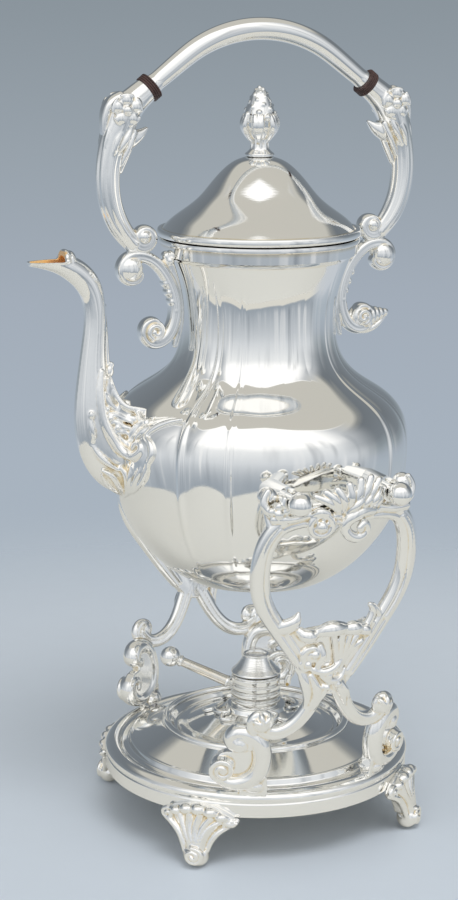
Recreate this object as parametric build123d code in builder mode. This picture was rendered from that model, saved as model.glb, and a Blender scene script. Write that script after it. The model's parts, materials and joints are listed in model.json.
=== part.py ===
"""Spirit kettle on stand: a lobed swan-neck kettle that tilts on a two-frame stand over a spirit lamp.

Millimetres.  The origin is on the kettle's axis at table level, +Z is up, the spout points to -X
and the two cast frames stand at -Y (front) and +Y (back).
"""
from build123d import *
import os
from math import cos, radians, sin, sqrt, tan

os.makedirs("parts", exist_ok=True)

# ---------------------------------------------------------------- driving dimensions
# base plate and its feet
base_radius = 75.4
band_bottom = 24.0
plate_top = 36.0
plate_sheet = 1.5
step_radius = 62.7
lamp_ring_radius = 44.5
lamp_ring_top = 48.0
well_radius = 36.2
well_shelf = 43.0
toe_radius = 79.0
toe_roll = 5.5
toe_height = 5.0
shell_width = 37.0

# cast frames: bowed in plan, leaning outward, each half built in its own plane
frame_offset = 72.0
frame_lean = 0.157
frame_bow = 0.192
frame_thickness = 7.0
arm_width = 8.6
leg_width = 7.2
loop_half_width = 36.6
crotch_z = 86.0

# kettle body
belly_radius = 73.1
belly_z = 192.0
belly_drop = 78.0
belly_fullness = 2.15
bottom_z = 122.0
bottom_radius = 33.0
neck_top_z = 279.0
mouth_radius = 42.2
rim_radius = 47.0
rim_top = 287.6
body_sheet = 1.5
strip_half_angle = 9.5
crease_depth = 0.024

# lid and finial
lid_radius = 48.4
lid_underside = 288.0
lid_sheet = 1.3
lid_crown_z = 324.8
hinge_y = 51.4
hinge_z = 288.0
hinge_knuckle_radius = 2.2
hinge_pin_radius = 1.0

# handle
grip_radius = 4.5
grip_end_x = 54.0
grip_end_z = 359.0
grip_slope = 38.0
grip_straight = 16.0
insulator_radius = 6.65
insulator_thickness = 4.2
arm_radius = 5.6
tenon_radius = 2.8
cross_pin_radius = 0.9

# trunnions that carry the kettle
trunnion_x = 24.8
trunnion_z = 182.0
trunnion_radius = 2.5
trunnion_head_radius = 5.5
cradle_inner_y = 85.4
cradle_outer_y = 92.6
cradle_radius = 6.8
running_gap = 0.05
rest_gap = 0.3

# spirit lamp, turned a little off the kettle's plane
lamp_turn = -25.0
font_radius = 35.6
font_flange_radius = 39.0
collar_radius = 12.2
collar_foot_z = 54.0
collar_top_z = 70.0
cap_top_z = 80.0
cap_top_radius = 5.8
wick_tube_radius = 4.6
snuffer_pivot_x = 15.6
snuffer_pivot_z = 64.5
lamp_ball_radius = 5.1
lamp_ball_x = -42.5
lamp_ball_z = 77.6


# ---------------------------------------------------------------- helpers
def write(solid, name):
    """Label a finished piece and write it to its own file."""
    solid.label = name
    export_step(solid, f"parts/{name}.step")


def turned(outline):
    """Face in the XZ plane bounded by straight lines through (radius, height) points."""
    with BuildSketch(Plane.XZ) as section:
        with BuildLine():
            Polyline(*outline, close=True)
        make_face()
    return section.sketch


def smooth_turned(curve, closing):
    """Face in the XZ plane: a smooth curve through points, closed by straight lines."""
    with BuildSketch(Plane.XZ) as section:
        with BuildLine():
            Spline(*curve)
            Polyline(curve[-1], *closing, curve[0])
        make_face()
    return section.sketch


def rail(plane, points, radii, width, depth, corner=2.2):
    """Sweep a rounded bar along straight runs and tangent arcs that lie in one plane."""
    with BuildLine(plane) as path:
        FilletPolyline(*points, radius=radii)
    wire = path.wire()
    start = Plane(origin=wire @ 0, x_dir=plane.z_dir, z_dir=wire % 0)
    with BuildSketch(start) as bar:
        RectangleRounded(depth, width, corner)
    sweep(sections=bar.sketch, path=wire)


def round_rail(plane, points, radii, radius):
    """Sweep a round rod along straight runs and tangent arcs that lie in one plane."""
    with BuildLine(plane) as path:
        FilletPolyline(*points, radius=radii)
    wire = path.wire()
    with BuildSketch(Plane(origin=wire @ 0, x_dir=plane.z_dir, z_dir=wire % 0)) as rod:
        Circle(radius)
    sweep(sections=rod.sketch, path=wire)


def plate(plane, outline, depth):
    """Plate of even thickness, half of it on each side of its plane."""
    with BuildSketch(plane) as face:
        with BuildLine():
            Polyline(*outline, close=True)
        make_face()
    extrude(face.sketch, amount=depth / 2, both=True)


def ball(centre, radius):
    """Sphere at a point."""
    with Locations(centre):
        Sphere(radius)


def disc(centre, direction, radius, length):
    """Round disc or rod centred on a point, its axis along a direction."""
    with Locations(Plane(origin=centre, z_dir=direction)):
        Cylinder(radius, length)


# ---------------------------------------------------------------- base plate and lamp ring
with BuildPart() as base_plate:
    with BuildSketch(Plane.XZ) as plate_section:
        with BuildLine():
            Polyline(
                (base_radius - 1.4, plate_top - 0.2),
                (step_radius + 0.9, plate_top),
                (step_radius, plate_top + 2.4),
                (step_radius - 1.4, plate_top + 2.6),
                (lamp_ring_radius + 2.2, lamp_ring_top - 2.4),
                (lamp_ring_radius - 1.8, lamp_ring_top - 2.4),
                (well_radius + 4.4, well_shelf),
                (well_radius, well_shelf),
                (well_radius, well_shelf - plate_sheet),
                (well_radius + 4.0, well_shelf - plate_sheet),
                (lamp_ring_radius - 1.6, lamp_ring_top - 2.4 - plate_sheet),
                (lamp_ring_radius + 1.8, lamp_ring_top - 2.4 - plate_sheet),
                (step_radius - 1.8, plate_top + 2.6 - plate_sheet),
                (step_radius - 0.6, plate_top - plate_sheet),
                (base_radius - 2.0, plate_top - plate_sheet),
                (base_radius - 1.6, band_bottom),
                (base_radius, band_bottom),
                (base_radius, plate_top - 2.6),
            )
            ThreePointArc(
                (base_radius, plate_top - 2.6),
                (base_radius - 0.1, plate_top - 1.0),
                (base_radius - 1.4, plate_top - 0.2),
            )
        make_face()
    revolve(axis=Axis.Z)

with BuildPart() as lamp_ring:
    with BuildSketch(Plane.XZ):
        with Locations((lamp_ring_radius, lamp_ring_top - 1.7)):
            Circle(1.7)
    revolve(axis=Axis.Z)
    add(base_plate.part, mode=Mode.SUBTRACT)

# ---------------------------------------------------------------- feet
feet = {
    "foot_front_left": 225.0,
    "foot_front_right": 315.0,
    "foot_back_right": 45.0,
    "foot_back_left": 135.0,
}


def foot(bearing):
    """Shell-topped scroll foot soldered to the band; local X points outward from the axis."""
    outward = Vector(cos(radians(bearing)), sin(radians(bearing)), 0)
    across = Vector(-outward.Y, outward.X, 0)
    levels = (
        # height, radius of the middle, depth, width
        (30.6, base_radius + 1.4, 3.4, shell_width),
        (24.0, base_radius + 2.2, 5.6, 0.80 * shell_width),
        (17.0, base_radius + 2.0, 8.0, 0.48 * shell_width),
        (11.0, base_radius + 2.2, 8.4, 0.33 * shell_width),
        (toe_height, toe_radius, 9.0, 0.30 * shell_width),
    )
    with BuildPart() as casting:
        sections = []
        for height, radius, depth, width in levels:
            with BuildSketch(
                Plane(origin=outward * radius + Vector(0, 0, height), x_dir=outward, z_dir=(0, 0, 1))
            ) as level:
                RectangleRounded(depth, width, 0.3 * depth)
            sections.append(level.sketch)
        loft(sections)
        toe = outward * toe_radius + Vector(0, 0, toe_height)
        disc(toe, across, toe_roll, 0.31 * shell_width)
        for side in (-1, 1):
            disc(toe + across * (side * 0.16 * shell_width), across, 3.2, 1.6)
        for scallop in range(-3, 4):
            lift = 30.4 - 0.55 * scallop**2
            ball(outward * (base_radius + 1.6) + across * (scallop * shell_width / 7) + Vector(0, 0, lift), 2.9)
        with Locations((0, 0, band_bottom + 10)):
            Cylinder(base_radius, 20, mode=Mode.SUBTRACT)
        with Locations((0, 0, 0)):
            Box(400, 400, 0.5, align=(Align.CENTER, Align.CENTER, Align.MAX), mode=Mode.SUBTRACT)
    return casting.part


# ---------------------------------------------------------------- frames
front_half_x = Vector(1, frame_bow, 0).normalized()
front_normal = Vector(frame_bow, -1, -frame_lean).normalized()
front_right = Plane(origin=(0, -frame_offset, plate_top + 2), x_dir=front_half_x, z_dir=front_normal)


def on_frame(x, z):
    """Local point of the right-hand half plane of the front frame that stands at x and z."""
    y = -frame_offset + frame_bow * x - frame_lean * (z - plate_top - 2)
    local = front_right.to_local_coords(Vector(x, y, z))
    return (local.X, local.Y)


def at_frame(x, z, out=0.0):
    """Point in space on the right-hand half plane, moved outward by a distance."""
    local_x, local_y = on_frame(x, z)
    return front_right.from_local_coords(Vector(local_x, local_y, out))


def half_frame():
    """Right-hand half of the front casting, without what differs from side to side."""
    with BuildPart() as casting:
        arm_points = (
            (-3.0, 172.4),
            (22.0, 173.0),
            (34.0, 169.0),
            (loop_half_width + 1.2, 148.0),
            (loop_half_width - 3.0, 130.0),
            (20.0, 111.5),
            (8.0, 93.0),
        )
        rail(
            front_right,
            [on_frame(x, z) for x, z in arm_points],
            (14, 9, 22, 30, 40),
            arm_width,
            frame_thickness,
        )
        leg_points = (
            (6.0, 101.0),
            (8.2, 84.0),
            (13.5, 71.5),
            (24.0, 66.6),
            (31.6, 71.0),
        )
        leg_line = [on_frame(x, z) for x, z in leg_points]
        rail(front_right, leg_line, (14, 11, 7), leg_width, 0.9 * frame_thickness)
        shell_points = (
            (-3.0, 121.0),
            (8.0, 119.6),
            (15.5, 120.6),
            (18.4, 127.6),
            (22.6, 127.6),
            (26.0, 119.0),
            (15.0, 102.0),
            (10.4, 88.0),
            (0.0, crotch_z),
            (-3.0, crotch_z),
        )
        plate(front_right, [on_frame(x, z) for x, z in shell_points], frame_thickness - 1.0)
        crest_points = (
            (-3.0, 169.0),
            (-3.0, 180.0),
            (4.0, 183.0),
            (11.0, 186.5),
            (17.0, 186.0),
            (20.5, 182.0),
            (20.5, 170.0),
        )
        plate(front_right, [on_frame(x, z) for x, z in crest_points], frame_thickness - 1.0)
        foot_points = (
            (24.6, plate_top - 1.0),
            (24.6, 66.0),
            (35.0, 66.0),
            (35.6, 57.0),
            (38.0, 50.5),
            (45.0, 51.0),
            (50.0, 43.0),
            (45.0, plate_top - 1.0),
        )
        plate(front_right, [on_frame(x, z) for x, z in foot_points], 1.3 * frame_thickness)
        ball(at_frame(31.6, 74.3), 5.2)
        ball(at_frame(37.3, 62.5), 5.7)
        disc(at_frame(45.4, 45.8), front_right.z_dir, 6.2, 1.5 * frame_thickness)
        ball(at_frame(45.4, 45.8, 5.0), 2.4)
        # heel pad that takes the screw
        with Locations((31.0, -64.0, plate_top + 4.0)):
            Box(12.0, 13.0, 8.0)
        # raised ribs of the rocaille shell, spreading from the junction
        for rib in range(4):
            tip = at_frame(3.0 + 5.4 * rib, 119.0 - 0.6 * rib, 2.6)
            root = at_frame(1.0 + 1.8 * rib, 97.0, 2.2)
            disc((tip + root) * 0.5, tip - root, 1.7, (tip - root).length)
            ball(tip, 2.3)
        # hanging scroll under the crest and frill balls along its top
        disc(at_frame(6.6, 167.4, 1.2), front_right.z_dir, 4.4, frame_thickness)
        ball(at_frame(6.6, 167.4, 4.6), 2.2)
        for leaf in range(4):
            ball(at_frame(1.6 + 5.0 * leaf, 182.6 + 1.9 * leaf - 0.34 * leaf**2, 1.4), 3.0)
        ball(at_frame(33.4, 181.6, -2.0), 4.4)
        ball(at_frame(30.4, 174.6, 2.0), 4.2)
        # open-topped cradle for a trunnion
        middle_y = -(cradle_inner_y + cradle_outer_y) / 2
        disc((trunnion_x, middle_y, trunnion_z), (0, 1, 0), cradle_radius, cradle_outer_y - cradle_inner_y)
    return casting.part


def cradle_slot(x, gap):
    """Open-topped notch that a trunnion drops into."""
    middle_y = -(cradle_inner_y + cradle_outer_y) / 2
    width = 2 * (trunnion_radius + gap)
    with Locations(Plane(origin=(x, middle_y, trunnion_z), z_dir=(0, 1, 0))):
        Cylinder(width / 2, 40, mode=Mode.SUBTRACT)
    with Locations((x, middle_y, trunnion_z)):
        Box(width, 40, 24, align=(Align.CENTER, Align.CENTER, Align.MIN), mode=Mode.SUBTRACT)
    # room for the trunnion's ball head outside the cradle and for the kettle's lug inside it
    head = (x, -(cradle_outer_y + trunnion_head_radius), trunnion_z)
    with Locations(head):
        Sphere(trunnion_head_radius + 0.4, mode=Mode.SUBTRACT)
    with Locations(head):
        Box(
            2 * trunnion_head_radius + 0.8,
            2 * trunnion_head_radius + 0.8,
            24,
            align=(Align.CENTER, Align.CENTER, Align.MIN),
            mode=Mode.SUBTRACT,
        )
    with Locations((x, -cradle_inner_y, trunnion_z - 7.5)):
        Box(15, 20, 40, align=(Align.CENTER, Align.MIN, Align.MIN), mode=Mode.SUBTRACT)


half_casting = half_frame()
with BuildPart() as frame_front:
    add(half_casting)
    mirror(half_casting, about=Plane.YZ)
    cradle_slot(-trunnion_x, running_gap)
    cradle_slot(trunnion_x, rest_gap)
    add(base_plate.part, mode=Mode.SUBTRACT)

with BuildPart() as frame_screws:
    for x in (-29.5, 29.5):
        for y in (-61.8, 61.8):
            with Locations((x, y, plate_top - plate_sheet)):
                Cylinder(1.6, 9, align=(Align.CENTER, Align.CENTER, Align.MIN))
                Cylinder(3.2, 2.2, align=(Align.CENTER, Align.CENTER, Align.MAX))

with BuildPart() as drilled_plate:
    add(base_plate.part)
    add(frame_screws.part, mode=Mode.SUBTRACT)

with BuildPart() as drilled_frame:
    add(frame_front.part)
    add(frame_screws.part, mode=Mode.SUBTRACT)

# ---------------------------------------------------------------- kettle body
def belly(z):
    """Radius of the rounded lower half at a height."""
    drop = (belly_z - z) / belly_drop
    return belly_radius * (1 - drop**belly_fullness) ** (1 / belly_fullness)


lower_heights = (bottom_z, 126.0, 133.0, 144.0, 158.0, 175.0, belly_z)
shoulder = (
    (201.0, 71.1),
    (209.5, 64.9),
    (215.5, 56.4),
    (221.6, 47.6),
    (229.3, 41.1),
    (238.2, 38.0),
    (249.0, 37.2),
    (264.0, 38.8),
    (neck_top_z, 43.9),
)
body_outline = [(z, belly(z)) for z in lower_heights] + list(shoulder)


def crease_at(z):
    """Depth of the creases, fading out low on the belly and under the rim."""
    rise = min(max((z - 128.0) / 30.0, 0.0), 1.0)
    fall = min(max((264.0 - z) / 20.0, 0.0), 1.0)
    return crease_depth * min(rise, fall)


def lobed_section(z, radius, crease):
    """Outline of four broad panels and four narrow strips that meet in creases."""

    def point(bearing, r):
        return (r * cos(radians(bearing)), r * sin(radians(bearing)))

    with BuildSketch(Plane.XY.offset(z)) as section:
        with BuildLine():
            for quarter in range(4):
                diagonal = 45.0 + 90.0 * quarter
                low = point(diagonal - strip_half_angle, radius * (1 - crease))
                high = point(diagonal + strip_half_angle, radius * (1 - crease))
                following = point(diagonal + 90.0 - strip_half_angle, radius * (1 - crease))
                ThreePointArc(low, point(diagonal, radius), high)
                ThreePointArc(high, point(diagonal + 45.0, radius), following)
        make_face()
    return section.sketch


def wall_inset(index):
    """Radial thickness that gives the sheet its thickness square to the wall."""
    before = body_outline[max(index - 1, 0)]
    after = body_outline[min(index + 1, len(body_outline) - 1)]
    slope = (after[1] - before[1]) / (after[0] - before[0])
    return body_sheet * sqrt(1 + slope**2)


with BuildPart() as body_envelope:
    loft([lobed_section(z, r, crease_at(z)) for z, r in body_outline])

with BuildPart() as body_cavity:
    loft(
        [
            lobed_section(z, r - wall_inset(index), crease_at(z))
            for index, (z, r) in enumerate(body_outline)
        ]
    )

rim_section = (
    (mouth_radius - 6.0, neck_top_z - 1.4),
    (43.0, neck_top_z - 1.4),
    (46.6, neck_top_z + 0.6),
    (rim_radius, neck_top_z + 6.0),
    (rim_radius + 0.9, neck_top_z + 6.8),
    (rim_radius + 0.9, rim_top - 0.6),
    (rim_radius + 0.3, rim_top),
    (mouth_radius - 6.0, rim_top),
)
rim_face = turned(rim_section)

spout_root = (-62.0, 0.0, 188.0)
pour_hole_radius = 8.0
with BuildPart() as kettle_body:
    add(body_envelope.part)
    revolve(rim_face, axis=Axis.Z)
    add(body_cavity.part, mode=Mode.SUBTRACT)
    with Locations((0, 0, neck_top_z - 2.4)):
        Cylinder(mouth_radius, 12, align=(Align.CENTER, Align.CENTER, Align.MIN), mode=Mode.SUBTRACT)
    with Locations((0, 0, bottom_z)):
        Cylinder(bottom_radius, 6, mode=Mode.SUBTRACT)
    with Locations(Plane(origin=spout_root, z_dir=(-1, 0, 0))):
        Cylinder(pour_hole_radius, 40, mode=Mode.SUBTRACT)

with BuildPart() as kettle_bottom:
    with BuildSketch(Plane.XY.offset(bottom_z)):
        Circle(bottom_radius)
    extrude(amount=body_sheet)

# ---------------------------------------------------------------- spout
# middle of each section, half height square to the spout's run, half width, direction of the run
spout_levels = (
    ((-60.0, 187.5), 21.0, 13.0, (-1.0, 0.0)),
    ((-72.0, 190.5), 20.0, 11.5, (-0.93, 0.36)),
    ((-81.0, 203.5), 13.0, 9.6, (-0.62, 0.79)),
    ((-84.6, 220.0), 8.3, 7.6, (-0.16, 0.99)),
    ((-84.2, 240.0), 5.9, 5.9, (0.02, 1.0)),
    ((-83.4, 257.0), 5.3, 5.4, (-0.06, 1.0)),
    ((-86.6, 269.4), 5.9, 5.5, (-0.50, 0.87)),
    ((-93.4, 276.4), 5.8, 6.0, (-0.82, 0.57)),
    ((-103.0, 280.4), 4.6, 6.4, (-0.98, 0.20)),
    ((-115.4, 281.6), 2.4, 3.4, (-0.98, 0.20)),
)
spout_wall = 1.2
spout_mouth_x = -97.0


def oval(plane, half_x, half_y):
    """Oval face drawn as one smooth closed curve that starts on the plane's X axis."""
    turns = [radians(30 * step) for step in range(12)]
    with BuildSketch(plane) as section:
        with BuildLine():
            Spline(*[(half_x * cos(turn), half_y * sin(turn)) for turn in turns], periodic=True)
        make_face()
    return section.sketch


def spout_solid(inset):
    """Smooth body through the spout's sections, drawn in by a wall thickness."""
    sections = []
    for (x, z), half_height, half_width, run in spout_levels:
        cut = Plane(origin=(x, 0, z), x_dir=(0, 1, 0), z_dir=(run[0], 0, run[1]))
        sections.append(oval(cut, half_width - inset, half_height - inset))
    with BuildPart() as body:
        loft(sections)
    return body.part


with BuildPart() as spout:
    add(spout_solid(0.0))
    # cast scroll on each side of the root, leaf tip below and leaf knob above
    for side in (-1, 1):
        disc((-64.0, side * 12.0, 189.0), (0, 1, 0), 6.5, 4.0)
        ball((-64.0, side * 14.0, 189.0), 3.0)
    ball((-69.5, 0, 168.6), 4.0)
    ball((-76.2, 0, 226.0), 3.0)
    for bead in range(4):
        ball((-79.2 + 0.5 * bead, 0, 262.0 + 3.4 * bead), 2.0)
    add(spout_solid(spout_wall), mode=Mode.SUBTRACT)
    # the pouring lip is an open trough
    with Locations((spout_mouth_x, 0, 281.4)):
        Box(30, 30, 20, align=(Align.MAX, Align.CENTER, Align.MIN), mode=Mode.SUBTRACT)
    add(body_envelope.part, mode=Mode.SUBTRACT)

# ---------------------------------------------------------------- handle
grip_tangent = Vector(cos(radians(grip_slope)), 0, -sin(radians(grip_slope)))
grip_end = Vector(grip_end_x, 0, grip_end_z)
arc_end_x = grip_end_x - grip_straight
arc_end = (arc_end_x, 0, grip_end_z + grip_straight * tan(radians(grip_slope)))
grip_bow = arc_end_x / sin(radians(grip_slope))
grip_apex_z = arc_end[2] + grip_bow * (1 - cos(radians(grip_slope)))

with BuildPart() as cross_pins:
    for side in (-1, 1):
        pin_at = grip_end + grip_tangent * (insulator_thickness + 3.4)
        disc((side * pin_at.X, 0, pin_at.Z), (0, 1, 0), cross_pin_radius, 2 * arm_radius)

with BuildPart() as handle_grip:
    with BuildLine() as grip_line:
        Line((-grip_end_x, 0, grip_end_z), (-arc_end[0], 0, arc_end[2]))
        ThreePointArc((-arc_end[0], 0, arc_end[2]), (0, 0, grip_apex_z), arc_end)
        Line(arc_end, (grip_end_x, 0, grip_end_z))
    grip_wire = grip_line.wire()
    with BuildSketch(Plane(origin=grip_wire @ 0, z_dir=grip_wire % 0)):
        Circle(grip_radius)
    sweep(path=grip_wire)
    for side in (-1, 1):
        mirrored = Vector(side * grip_tangent.X, 0, grip_tangent.Z)
        start = Vector(side * grip_end.X, 0, grip_end.Z)
        disc(start + mirrored * (insulator_thickness / 2 + 3), mirrored, tenon_radius, insulator_thickness + 8)
    add(cross_pins.part, mode=Mode.SUBTRACT)


def insulator(side):
    """Bored ring that keeps the heat of the arms out of the grip."""
    direction = Vector(side * grip_tangent.X, 0, grip_tangent.Z)
    centre = Vector(side * grip_end.X, 0, grip_end.Z) + direction * (insulator_thickness / 2)
    with BuildPart() as ring:
        disc(centre, direction, insulator_radius, insulator_thickness)
        with Locations(Plane(origin=centre, z_dir=direction)):
            Cylinder(tenon_radius, 2 * insulator_thickness, mode=Mode.SUBTRACT)
        fillet(ring.edges().filter_by(GeomType.CIRCLE).group_by(SortBy.RADIUS)[-1], 0.6)
    return ring.part


def handle_arm():
    """Cast arm on the +X side, from the insulator to the scroll that stands on the bracket."""
    top = grip_end + grip_tangent * insulator_thickness
    arm_points = (
        (top.X, top.Z),
        (71.5, top.Z - (71.5 - top.X) * tan(radians(grip_slope))),
        (77.6, 322.0),
        (74.6, 301.0),
        (63.5, 284.6),
    )
    with BuildPart() as casting:
        with BuildLine() as path:
            FilletPolyline(*[(x, 0, z) for x, z in arm_points], radius=(11, 40, 22))
        wire = path.wire()
        with BuildSketch(Plane(origin=wire @ 0, z_dir=wire % 0)):
            Circle(arm_radius)
        sweep(path=wire)
        disc((60.0, 0, 289.4), (0, 1, 0), 6.6, 8.6)
        for side in (-1, 1):
            ball((60.0, side * 4.0, 289.4), 2.6)
            # five-petalled flower on each flank of the elbow
            centre = Vector(68.5, side * 4.6, 348.4)
            ball(centre, 2.8)
            for petal in range(5):
                turn = radians(72 * petal + 18)
                ball(centre + Vector(3.9 * cos(turn), -side * 0.4, 3.9 * sin(turn)), 2.3)
        # leaf spur on the inside of the arm
        with BuildSketch(Plane.XZ) as spur:
            with BuildLine():
                Polyline((66.0, 341.0), (58.6, 337.4), (60.2, 333.6), (67.0, 334.8), (73.0, 322.0), (76.0, 340.0), close=True)
            make_face()
        extrude(spur.sketch, amount=2.4, both=True)
        disc(
            top + grip_tangent * 2,
            grip_tangent,
            insulator_radius - 0.5,
            4.0,
        )
        with Locations(Plane(origin=top, z_dir=grip_tangent)):
            Cylinder(tenon_radius, 18, mode=Mode.SUBTRACT)
        add(cross_pins.part, mode=Mode.SUBTRACT)
    return casting.part


# ---------------------------------------------------------------- brackets
def bracket():
    """C-scroll bracket on the +X side that joins the neck to the handle arm."""
    side_plane = Plane(origin=(0, 0, 0), x_dir=(1, 0, 0), z_dir=(0, -1, 0))
    with BuildPart() as casting:
        rail(
            side_plane,
            ((62.0, 280.6), (55.0, 279.8), (47.6, 271.6), (42.4, 254.0), (47.5, 240.8), (54.5, 240.6)),
            (6.5, 14, 9.5, 5),
            5.6,
            8.4,
            1.8,
        )
        rail(
            side_plane,
            ((47.6, 281.0), (43.0, 268.0), (39.6, 252.0), (42.6, 237.6)),
            (20, 18),
            4.2,
            6.4,
            1.4,
        )
        disc((64.4, 0, 276.4), (0, 1, 0), 6.6, 9.4)
        disc((52.4, 0, 246.2), (0, 1, 0), 6.8, 9.4)
        for side in (-1, 1):
            ball((64.4, side * 4.4, 276.4), 2.6)
            ball((52.4, side * 4.4, 246.2), 2.8)
        add(kettle_body.part, mode=Mode.SUBTRACT)
        with Locations((0, 0, 262.0)):
            Cylinder(36.0, 60, mode=Mode.SUBTRACT)
    return casting.part


arm_casting = handle_arm()
with BuildPart() as handle_arm_right:
    add(arm_casting)
with BuildPart() as handle_arm_left:
    mirror(arm_casting, about=Plane.YZ)

bracket_casting = bracket()
with BuildPart() as bracket_right:
    add(bracket_casting)
    # snail-shell flare on the lower curl
    for whorl, size in enumerate((5.2, 4.4, 3.4)):
        ball((57.5 + 4.2 * whorl, 0, 247.0 + 1.2 * whorl), size)
    add(arm_casting, mode=Mode.SUBTRACT)
with BuildPart() as bracket_left:
    mirror(bracket_casting, about=Plane.YZ)
    add(handle_arm_left.part, mode=Mode.SUBTRACT)

# ---------------------------------------------------------------- lugs and trunnions
lug_outer_y = cradle_inner_y - 0.6
with BuildPart() as trunnion_lugs:
    for x in (-trunnion_x, trunnion_x):
        for side in (-1, 1):
            with Locations(Plane(origin=(x, side * (lug_outer_y + 62.0) / 2, trunnion_z), z_dir=(0, 1, 0))):
                Cylinder(trunnion_radius + 2.6, lug_outer_y - 62.0)
    add(body_envelope.part, mode=Mode.SUBTRACT)
    for x in (-trunnion_x, trunnion_x):
        bore = trunnion_radius + (running_gap if x < 0 else 0.0)
        for side in (-1, 1):
            with Locations(Plane(origin=(x, side * (lug_outer_y + 70.0) / 2, trunnion_z), z_dir=(0, 1, 0))):
                Cylinder(bore, lug_outer_y - 70.0 + 0.02, mode=Mode.SUBTRACT)


def trunnions(x, inner_y):
    """Pair of ball-headed pins, one for the front frame and one for the back frame."""
    with BuildPart() as pins:
        for side in (-1, 1):
            length = cradle_outer_y + 2.0 - inner_y
            disc((x, side * (inner_y + length / 2), trunnion_z), (0, 1, 0), trunnion_radius, length)
            ball((x, side * (cradle_outer_y + trunnion_head_radius), trunnion_z), trunnion_head_radius)
    return pins.part


# ---------------------------------------------------------------- lid, finial and hinge
lid_curve = (
    (lid_radius - 2.6, lid_underside + 3.4),
    (42.4, 294.9),
    (35.2, 300.3),
    (28.1, 306.2),
    (23.4, 311.8),
    (18.7, 317.2),
    (14.9, 320.7),
    (11.1, 323.1),
    (6.0, lid_crown_z),
)
bezel_radius = mouth_radius - 0.6
bezel_inner = bezel_radius - 1.2
lid_inner = (
    (6.0, lid_crown_z - lid_sheet),
    (10.6, 321.8),
    (14.1, 319.5),
    (17.7, 316.2),
    (22.3, 311.0),
    (27.1, 305.3),
    (34.4, 299.2),
    (bezel_inner, 294.7),
)
with BuildPart() as lid:
    with BuildSketch(Plane.XZ) as lid_section:
        with BuildLine():
            Spline(*lid_curve)
            Polyline(lid_curve[-1], (2.1, lid_crown_z + 0.2), (2.1, lid_crown_z - lid_sheet), lid_inner[0])
            Spline(*lid_inner)
            Polyline(
                lid_inner[-1],
                (bezel_inner, 283.0),
                (bezel_radius, 283.0),
                (bezel_radius, lid_underside),
                (lid_radius - 0.8, lid_underside),
            )
            ThreePointArc(
                (lid_radius - 0.8, lid_underside),
                (lid_radius, lid_underside + 1.8),
                (lid_radius - 0.9, lid_underside + 3.4),
            )
            Line((lid_radius - 0.9, lid_underside + 3.4), lid_curve[0])
        make_face()
    revolve(axis=Axis.Z)

finial_profile = (
    (7.0, lid_crown_z + 0.2),
    (7.2, 326.4),
    (4.6, 328.2),
    (3.6, 331.0),
    (4.4, 334.0),
    (7.6, 338.0),
    (8.2, 342.0),
    (6.8, 347.0),
    (4.6, 352.0),
    (2.2, 356.0),
)
with BuildPart() as finial:
    bud = smooth_turned(finial_profile, ((0, 357.0), (0, lid_crown_z + 0.2)))
    revolve(bud, axis=Axis.Z)
    for ring_z, ring_radius, count, size in ((339.0, 5.6, 6, 3.1), (345.6, 5.0, 6, 2.6), (351.2, 3.2, 5, 2.1)):
        with Locations((0, 0, ring_z)):
            with PolarLocations(ring_radius, count):
                Sphere(size)
    ball((0, 0, 356.4), 2.4)
    with Locations((0, 0, lid_crown_z)):
        Cylinder(2.0, 10, align=(Align.CENTER, Align.CENTER, Align.MIN), mode=Mode.SUBTRACT)

with BuildPart() as finial_stud:
    with Locations((0, 0, lid_crown_z - 6)):
        Cylinder(2.0, 16, align=(Align.CENTER, Align.CENTER, Align.MIN))

with BuildPart() as finial_nut:
    with BuildSketch(Plane.XY.offset(lid_crown_z - lid_sheet - 3.2)):
        RegularPolygon(3.6, 6)
        Circle(2.0, mode=Mode.SUBTRACT)
    extrude(amount=3.2)

knuckle_half = 3.3
hinge_half = 9.5


def knuckle(x_low, x_high):
    """Tube round the hinge pin between two positions along it."""
    middle = (x_low + x_high) / 2
    with Locations(Plane(origin=(middle, hinge_y, hinge_z), z_dir=(1, 0, 0))):
        Cylinder(hinge_knuckle_radius, x_high - x_low)


with BuildPart() as lid_hinge_leaf:
    knuckle(-knuckle_half, knuckle_half)
    with Locations((0, 0, lid_underside + 0.4)):
        with Locations((0, hinge_y, 0)):
            Box(2 * knuckle_half, 8.0, 1.7, align=(Align.CENTER, Align.MAX, Align.MIN))
    add(lid.part, mode=Mode.SUBTRACT)
    with Locations(Plane(origin=(0, hinge_y, hinge_z), z_dir=(1, 0, 0))):
        Cylinder(hinge_pin_radius + running_gap, 40, mode=Mode.SUBTRACT)
    with Locations((0, 0, lid_underside)):
        Cylinder(lid_radius - 3.0, 8, mode=Mode.SUBTRACT)

with BuildPart() as body_hinge_leaf:
    for side in (-1, 1):
        low, high = sorted((side * (knuckle_half + 0.2), side * hinge_half))
        knuckle(low, high)
        with Locations(((low + high) / 2, hinge_y, rim_top - 0.6)):
            Box(high - low, 7.0, 2.0, align=(Align.CENTER, Align.MAX, Align.MAX))
    with Locations((0, hinge_y - 0.2, rim_top - 2.2)):
        Box(2 * hinge_half, 6.8, 2.6, align=(Align.CENTER, Align.MAX, Align.MAX))
    with Locations((0, hinge_y, rim_top - 2.2)):
        Box(2 * knuckle_half + 0.4, 8.0, 6.0, align=(Align.CENTER, Align.CENTER, Align.MIN), mode=Mode.SUBTRACT)
    with Locations((0, 0, rim_top - 6)):
        Cylinder(rim_radius - 0.6, 12, align=(Align.CENTER, Align.CENTER, Align.MIN), mode=Mode.SUBTRACT)
    add(kettle_body.part, mode=Mode.SUBTRACT)
    with Locations(Plane(origin=(0, hinge_y, hinge_z), z_dir=(1, 0, 0))):
        Cylinder(hinge_pin_radius, 40, mode=Mode.SUBTRACT)

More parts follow.
